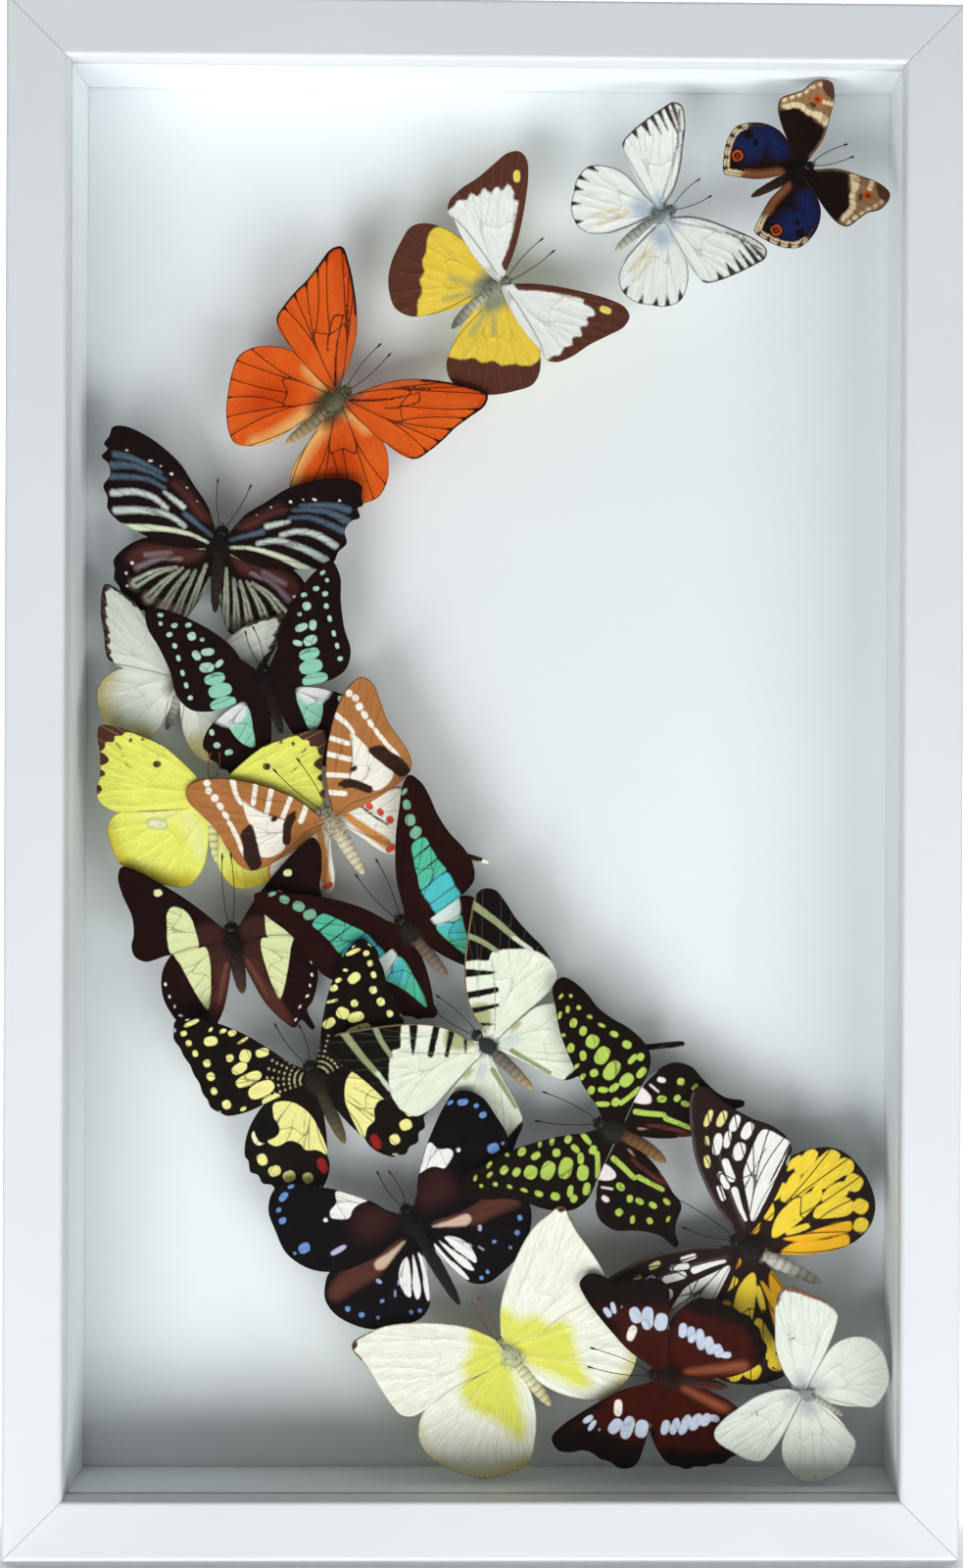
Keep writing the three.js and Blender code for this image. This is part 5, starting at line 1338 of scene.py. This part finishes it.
TIGER = Butterfly(
    "tiger", "yellow_wings", at=(101.7, -176.5), heading=-62, rise=(0, 0.014), turns=(3, 0, 0, 0),
    girth=3.2, head=10, tail=(1, -28), feelers=[(-5, 28), (3.3, 37)], coat=("26221f", "c9c5ba", "8f8a80"),
    seat=(2, 0, 2), ground="201513", ground_too="2c1e1c", vein=("241a17", 0.25, 0.85),
    worn=("6e625c", 0.4), fringe="1e1512",
    fore=[(3, 10), (7, 19), (13, 28), (20, 36), (28, 42), (36, 47), (42, 48.5), (45, 46), (44, 40),
        (43, 32), (43, 24), (44, 17), (43, 10), (40, 6), (35, 5), (22, 6.5), (10, 6), (4, 5)],
    hind=[(5, 5), (17, 7), (29, 7), (37, 5), (43, 0), (47, -6), (48, -12), (46, -19), (42, -26),
        (36, -31.5), (29, -33.5), (22, -32), (16, -28), (10, -21), (5, -13), (2.5, -7)],
    inks=[
        ink("5a4e4c", 0.6, 0.5, fore=[hem(0.9, 0.02, 0.4), line(0.5, (4, 8), (13, 20), (24, 31))]),
        ink("ebebe6", 0.2, 0.22, fore=[patch((7, 6.2), (12, 11), (17, 15.5), (20.5, 18), (27, 19.6),
                (38.4, 20.2), (39.6, 17), (39.6, 13), (39.6, 9.2), (36, 8.2), (26, 7), (16, 6)),
            spots((25.3, 32, 8.2, 3.3, 22), (28.7, 29.7, 6.5, 2.5, 20), (35.3, 30.4, 6.5, 3.3, 8),
                (27, 23.7, 7, 4.4, 12), (35.2, 25, 6.8, 3.8, 3), (35, 5.6, 7, 2.2)),
            line(2.8, (17, 21), (21, 26)), line(2.2, (13.5, 21), (16, 25.6)),
            line(2.0, (9, 20), (11.6, 23.2)), line(1.2, (6.2, 8.6), (9.4, 13), (13.7, 17.8), end=2.6)]),
        ink("e9dc94", 0.2, 0.22, fore=[spots((32, 39.8, 6.6, 2.3, 8), (24.5, 36, 3.6, 1.6, 40),
            (17.8, 32, 4.8, 2.3, 38), (34.3, 35.4, 6.4, 3, 5))]),
        ink("201513", 0.15, 0.2, fore=[line(0.7, (15, 15), (24, 15.4), (33, 15.8), end=0.4),
            line(0.4, (36.6, 18), (39, 17.6)), line(0.5, (22, 7.8), (31, 8.4), (39, 8.8), end=0.9)]),
        ink("efd040", 0.22, 0.25, hind=[grown(0.45,
            patch((22, -2.6), (30, -1.8), (40, -3.6), (44.4, -5.6), (44.5, -9), (40, -8.8), (31, -6.6)),
            patch((28.4, -7.6), (36, -9), (44, -11), (44.6, -14.5), (42, -16), (38, -13.5),
                (31.4, -10.4)),
            patch((6, -3.5), (12, -1.4), (20, -2.8), (26, -6.4), (29.6, -9.6), (28, -11), (21, -10),
                (12, -7)),
            patch((26.8, -12.6), (31, -12), (36, -15), (36.6, -17.5), (33.5, -18.7), (30, -16.6)),
            patch((20.3, -12.8), (24, -12.4), (29, -16.5), (32, -20), (31, -23.2), (27.5, -23.2),
                (23, -18)),
            spots((13.3, 2.8, 6, 3, 25), (21.3, 4.3, 7, 3.8, -5), (25, 0.3, 11, 3.5, 4),
            (33.5, 4, 6.5, 2, -20), (36.3, 0.3, 10, 4.1, -8), (38.4, -19, 5.5, 5.7),
            (32, -25.7, 4.7, 4.9), (26, -29.4, 4.9, 4.3), (13, -10, 8, 1.5, -40)))]),
        ink("eeb224", 0.3, 0.3, hind=[patch((7, -7), (14, -14), (19, -18), (24, -23), (25.2, -25.6),
                (22.5, -27.2), (17, -22), (10, -14)),
            patch((2, -9), (8, -11.4), (15, -21), (20.4, -27), (17, -29.4), (10, -24), (4, -16)),
            spots((6, 4.8, 6.4, 4.2, 20))]),
    ],
)

PALE_YELLOW = Butterfly(
    "pale_yellow", "yellow_wings", at=(10.9, -216.3), heading=-38, lift=22, spread=0.053,
    turns=(0, 0, 9, 0), girth=3, head=9, tail=(0, -23), feelers=[(1, 26), (3.5, 26)],
    feeler_coat="7a3a34", coat=("c2c4a0", "dcd8b4", "c9b98a"), ground="ebeddb", ground_too="f3f4e8",
    vein=("c4c5ae", 0.12, 0.4), worn=("ead6b2", 0.3), fringe="b0a078",
    fore=[(1, 10), (6, 19), (13, 26.5), (21, 33), (29, 38), (37, 40.5), (43, 41), (44.5, 39), (44, 30),
        (45, 22), (45.5, 14), (45, 9), (42, 6), (37, 5), (25, 5), (10, 2)],
    hind=[(10, 2), (37, 5), (44, 0), (46.5, -6), (45, -14), (41, -22), (35, -29), (27, -33), (20, -34.5),
        (12, -29), (5, -20), (2, -12), (2, -6)],
    inks=[
        ink("dedf62", 2.4, 1.6, fore=[patch((4.5, 19), (8, 16.5), (10, 12), (16, 9.8), (18.5, 5), (22, 2),
                (22, -1), (0, -1), (0, 10))],
            hind=[patch((2, 4), (21, 5), (24, -3), (22.8, -8), (20, -13), (18, -20), (17, -26),
            (12.5, -24), (8, -15), (3, -5))]),
        ink("d9cf96", 2.6, 0.8, hind=[border(1.0, 4.0)]),
        ink("4a3024", 0.2, 0.4, fore=[spots((43.8, 40.4, 4.6, 3.6)),
                line(1.0, (44.8, 39), (44, 33), (44.4, 28), end=0.3), hem(0.45, 0.38, 0.5)],
            hind=[spots((46.6, -6, 0.8), (45.4, -13, 0.8), (41.6, -21.4, 0.8), (35.6, -28.4, 0.8),
            (27.6, -32.8, 0.8))]),
    ],
)

WHITE_BAND = Butterfly(
    "white_band", "brown_wings", hind_scallop=0.7, at=(69.6, -222.9), heading=-80, lift=25.9, girth=2.8,
    head=8, tail=(0, -22), feelers=[(-1.1, 31), (5.9, 31.2)], coat=("2a1712", "3c2018", "4a2a20"),
    ground="43130b", ground_too="2e0c08", vein=("180a08", 0.12, 0.25), worn=("6a3a30", 0.3),
    fore=[(3, 7), (7, 16), (13, 24), (19, 31), (24, 36), (29, 39), (33, 36), (33, 31), (31.5, 27),
        (32, 23), (33.5, 20), (34, 16), (35.5, 13), (35, 9), (33, 6.5), (27, 5), (18, 4), (5, 1)],
    hind=[(5, 2.5), (11, 4.8), (18, 4.4), (25, 1.2), (31, -5), (32, -11), (30, -18), (27, -26), (20, -32),
        (15, -34), (10, -31), (5, -24), (1.5, -13)],
    inks=[
        ink("120908", 1.4, 0.8, fore=[border(10.0, 9.0), hem(3.0, 0.2, 0.5)],
            hind=[border(6.0, 4.0), hem(2.0, 0.0, 0.2)]),
        ink("8a4a32", 1.2, 0.8, hind=[line(2.0, (3, -6), (6, -16), (9, -26), end=3.6)]),
        ink("140b0a", 0.5, 0.4, fore=[spots((6, 8, 1.2, 3, 20), (9, 9, 1, 3), (10, 6, 2, 1),
                    (14, 10, 1, 2)),
                line(1.0, (24, 23), (26, 15), (25, 6))],
            hind=[spots((22, -4.4, 2), (21, -9, 2), (19, -13.6, 2), (17.4, -17.8, 2), (15, -22, 2),
            (26, -6, 1.6, 2.4), (25.5, -11, 1.6, 2.4), (23.6, -16, 1.6, 2.4), (20.5, -21, 1.6, 2.4))]),
        ink("0c0606", 0.25, 0.3, fore=[lunules(1.6, 3.0, 0.9)],
            hind=[lunules(1.4, 3.4, 1.0), lunules(3.6, 3.4, 0.8)]),
        ink("c4ccdf", 0.2, 0.22, fore=[grown(-0.3, spots((20.8, 16.7, 6.8, 4.7, 28),
                (20.5, 12.1, 9.2, 5, 8), (20, 6.9, 7.2, 5.4), (20, 3, 5.6, 1.9, -10),
                (20, 27, 4.8, 2.8, 45), (22, 25.1, 5.2, 2.4, 25), (23, 22.2, 1.9, 1.2)))],
            hind=[grown(-0.25, spots((18.2, -1.6, 6, 3.6, 5), (17.2, -5, 6.8, 3.4, 10),
            (16, -8.6, 8.4, 3.8, 15), (14.4, -12.3, 7.4, 4, 20), (13, -15.8, 5.6, 4, 25),
            (11.9, -19, 3, 4.4, 10)))]),
        ink("efe6d8", 0.25, 0.25, fore=[spots((14, 16.8, 6, 3.1, -8))]),
    ],
)

SMALL_WHITE = Butterfly(
    "small_white", "pale_wings", at=(119.9, -228.4), heading=-63, lift=26.5, spread=0.075,
    fore_size=(0.91, 1), girth=2.2, head=6, tail=(-1, -17), feelers=[(-3, 15), (3, 15)],
    coat=("a0a6a8", "b4b5aa", "a39c88"), ground="dadfd4", ground_too="e5e9df", vein=("aeb3a6", 0.12, 0.5),
    worn=("c2c6ba", 0.4), fringe="8a7a6a",
    fore=[(1, 6), (4, 11), (10, 17), (17, 21), (24, 24.5), (30, 25.5), (33, 23), (34, 15), (34, 8),
        (32, 3), (26, 1), (15, 0), (3, 0)],
    hind=[(3, 0), (20, -1), (26, -5), (29, -11), (28, -17), (24, -22), (18, -26), (12, -26.5), (7, -25),
        (4, -17), (2, -8)],
    inks=[
        ink("b4b9ba", 2.4, 1.4, fore=[spots((3, 3, 7, 5, 30))], hind=[spots((4, -4, 6, 7))]),
        ink("7a5242", 0.4, 0.7, right_fore=[border(2.2, 0.3), hem(1.2, 0.35, 0.47)],
            left_fore=[border(0.25)]),
        ink("3c3836", 0.2, 0.2, fore=[line(0.5, (15.4, 14), (16.6, 12.8))],
            left_hind=[spots((28, -12, 0.7), (25.6, -18, 0.7))]),
    ],
)

BUTTERFLIES = [
    PANSY, WHITE_VEIN, BROWN_YELLOW, ORANGE, ZEBRA, WHITE_UNDER, JAY, LEMON_YELLOW, SWORDTAIL, NAWAB,
    BLUEBOTTLE, LIME, FIVEBAR, MAGPIE, TAILED_JAY, TIGER, PALE_YELLOW, WHITE_BAND, SMALL_WHITE,
]


# Stage, lights and camera


def make_floor():
    """A wide pale floor that curves up behind the box."""
    reach, rise, bend_radius = 6.0, 3.2, 1.2
    front, back = -2.8, 2.6
    bend_start = back - bend_radius
    profile = [(front, 0.0), (bend_start, 0.0)]
    for k in range(1, 13):
        a = math.pi / 2 * k / 12
        profile.append((bend_start + bend_radius * math.sin(a), bend_radius - bend_radius * math.cos(a)))
    profile.append((back, rise))
    points = [(x, y, z) for y, z in profile for x in (-reach, reach)]
    faces = [(2 * k, 2 * k + 1, 2 * k + 3, 2 * k + 2) for k in range(len(profile) - 1)]
    mesh = bpy.data.meshes.new("stage_floor")
    mesh.from_pydata(points, [], faces)
    mesh.materials.append(floor_material())
    mesh.polygons.foreach_set("use_smooth", [True] * len(faces))
    floor = bpy.data.objects.new("stage_floor", mesh)
    bpy.context.scene.collection.objects.link(floor)
    floor.visible_shadow = False
    floor.visible_glossy = False


def lamp(name, place, target, size, power, mirrored=True):
    data = bpy.data.lights.new(name, "AREA")
    data.shape = "RECTANGLE"
    data.size, data.size_y = size
    data.energy = power
    thing = bpy.data.objects.new(name, data)
    thing.location = place
    thing.rotation_mode = "QUATERNION"
    thing.rotation_quaternion = (Vector(target) - Vector(place)).to_track_quat("-Z", "Y")
    thing.visible_camera = False
    thing.visible_glossy = mirrored
    bpy.context.scene.collection.objects.link(thing)


def make_lights():
    """Two soft boxes below the box's middle, left and right, a lamp above and one for the backdrop."""
    middle = (0, 0, 0.28)
    lamp("soft_left", (-0.85, -1.6, -1.15), middle, (1.3, 1.2), 34.5, False)
    lamp("soft_right", (0.95, -1.2, -0.8), middle, (1.1, 1.0), 20.5, False)
    lamp("overhead", (0, -0.2, 2.4), (0, 0.4, 0.3), (1.6, 1.2), 3)
    lamp("backdrop", (0, 1.1, 2.6), (0, 2.2, 0.2), (2.4, 1.0), 130)


def make_surround():
    """A dim world light that the camera sees as a pale wall."""
    world = bpy.data.worlds.new("surround")
    bpy.context.scene.world = world
    world.use_nodes = True
    tree = world.node_tree
    back = tree.nodes["Background"]
    back.inputs["Color"].default_value = (1.0, 0.98, 0.92, 1)
    back.inputs["Strength"].default_value = 0.15
    seen = tree.nodes.new("ShaderNodeBackground")
    seen.inputs["Color"].default_value = (0.93, 0.95, 0.97, 1)
    seen.inputs["Strength"].default_value = 0.95
    path = tree.nodes.new("ShaderNodeLightPath")
    mixed = tree.nodes.new("ShaderNodeMixShader")
    tree.links.new(path.outputs["Is Camera Ray"], mixed.inputs[0])
    tree.links.new(back.outputs[0], mixed.inputs[1])
    tree.links.new(seen.outputs[0], mixed.inputs[2])
    tree.links.new(mixed.outputs[0], tree.nodes["World Output"].inputs["Surface"])
    bpy.context.scene.view_settings.view_transform = "Standard"


# The photograph's viewpoint: millimetres from the middle of the opening's front, radians and pixels
CAMERA_ACROSS = 20.03
CAMERA_UP = 11.38
CAMERA_AWAY = 966.4
CAMERA_YAW = 0.0181
CAMERA_PITCH = -0.0058
CAMERA_ROLL = 0.0047
FOCAL_PIXELS = 2703.2
AXIS_PIXEL = (600.0, 781.5)
PICTURE = (983, 1600)
SENSOR = 36.0


def make_camera():
    data = bpy.data.cameras.new("camera")
    camera = bpy.data.objects.new("camera", data)
    bpy.context.scene.collection.objects.link(camera)
    data.sensor_width = SENSOR
    data.lens = FOCAL_PIXELS / PICTURE[1] * SENSOR
    data.shift_x = (PICTURE[0] / 2 - AXIS_PIXEL[0]) / PICTURE[1]
    data.shift_y = (AXIS_PIXEL[1] - PICTURE[1] / 2) / PICTURE[1]
    data.clip_start = 0.05
    data.clip_end = 50.0
    yaw, pitch, roll = CAMERA_YAW, CAMERA_PITCH, CAMERA_ROLL
    flat = Vector((math.sin(yaw), math.cos(yaw), 0))
    across = Vector((math.cos(yaw), -math.sin(yaw), 0))
    forward = math.cos(pitch) * flat + math.sin(pitch) * Vector((0, 0, 1))
    up = -math.sin(pitch) * flat + math.cos(pitch) * Vector((0, 0, 1))
    right = math.cos(roll) * across + math.sin(roll) * up
    up = math.cos(roll) * up - math.sin(roll) * across
    camera.rotation_mode = "QUATERNION"
    camera.rotation_quaternion = Matrix((right, up, -forward)).transposed().to_quaternion()
    camera.location = (CAMERA_ACROSS * MM, (BOX_FRONT - CAMERA_AWAY) * MM, (CENTRE_Z + CAMERA_UP) * MM)
    bpy.context.scene.camera = camera


def finish_nodes():
    """Gives the solids that stay their materials."""
    board = board_material()
    steel = metal_material("steel", "c6c9cd", 0.4)
    finishes = {
        "frame_": paint_material(),
        "liner_": board,
        "backing_board": board,
        "back_panel": hardboard_material(),
        "glass": pane_material(),
        "framer_point_": steel,
        "sawtooth_hanger": steel,
    }
    for node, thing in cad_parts.items():
        for start, finish in finishes.items():
            if node.startswith(start):
                thing.data.materials.clear()
                thing.data.materials.append(finish)
    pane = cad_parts["glass"]
    pane.visible_shadow = False
    pane.visible_diffuse = False


make_camera()
make_lights()
make_surround()
make_floor()
finish_nodes()
coat = coat_material()
pin_steel = metal_material("pin_steel", "9a9ca0", 0.3)
for number, specimen in enumerate(BUTTERFLIES):
    make_butterfly(number, specimen, coat, pin_steel)
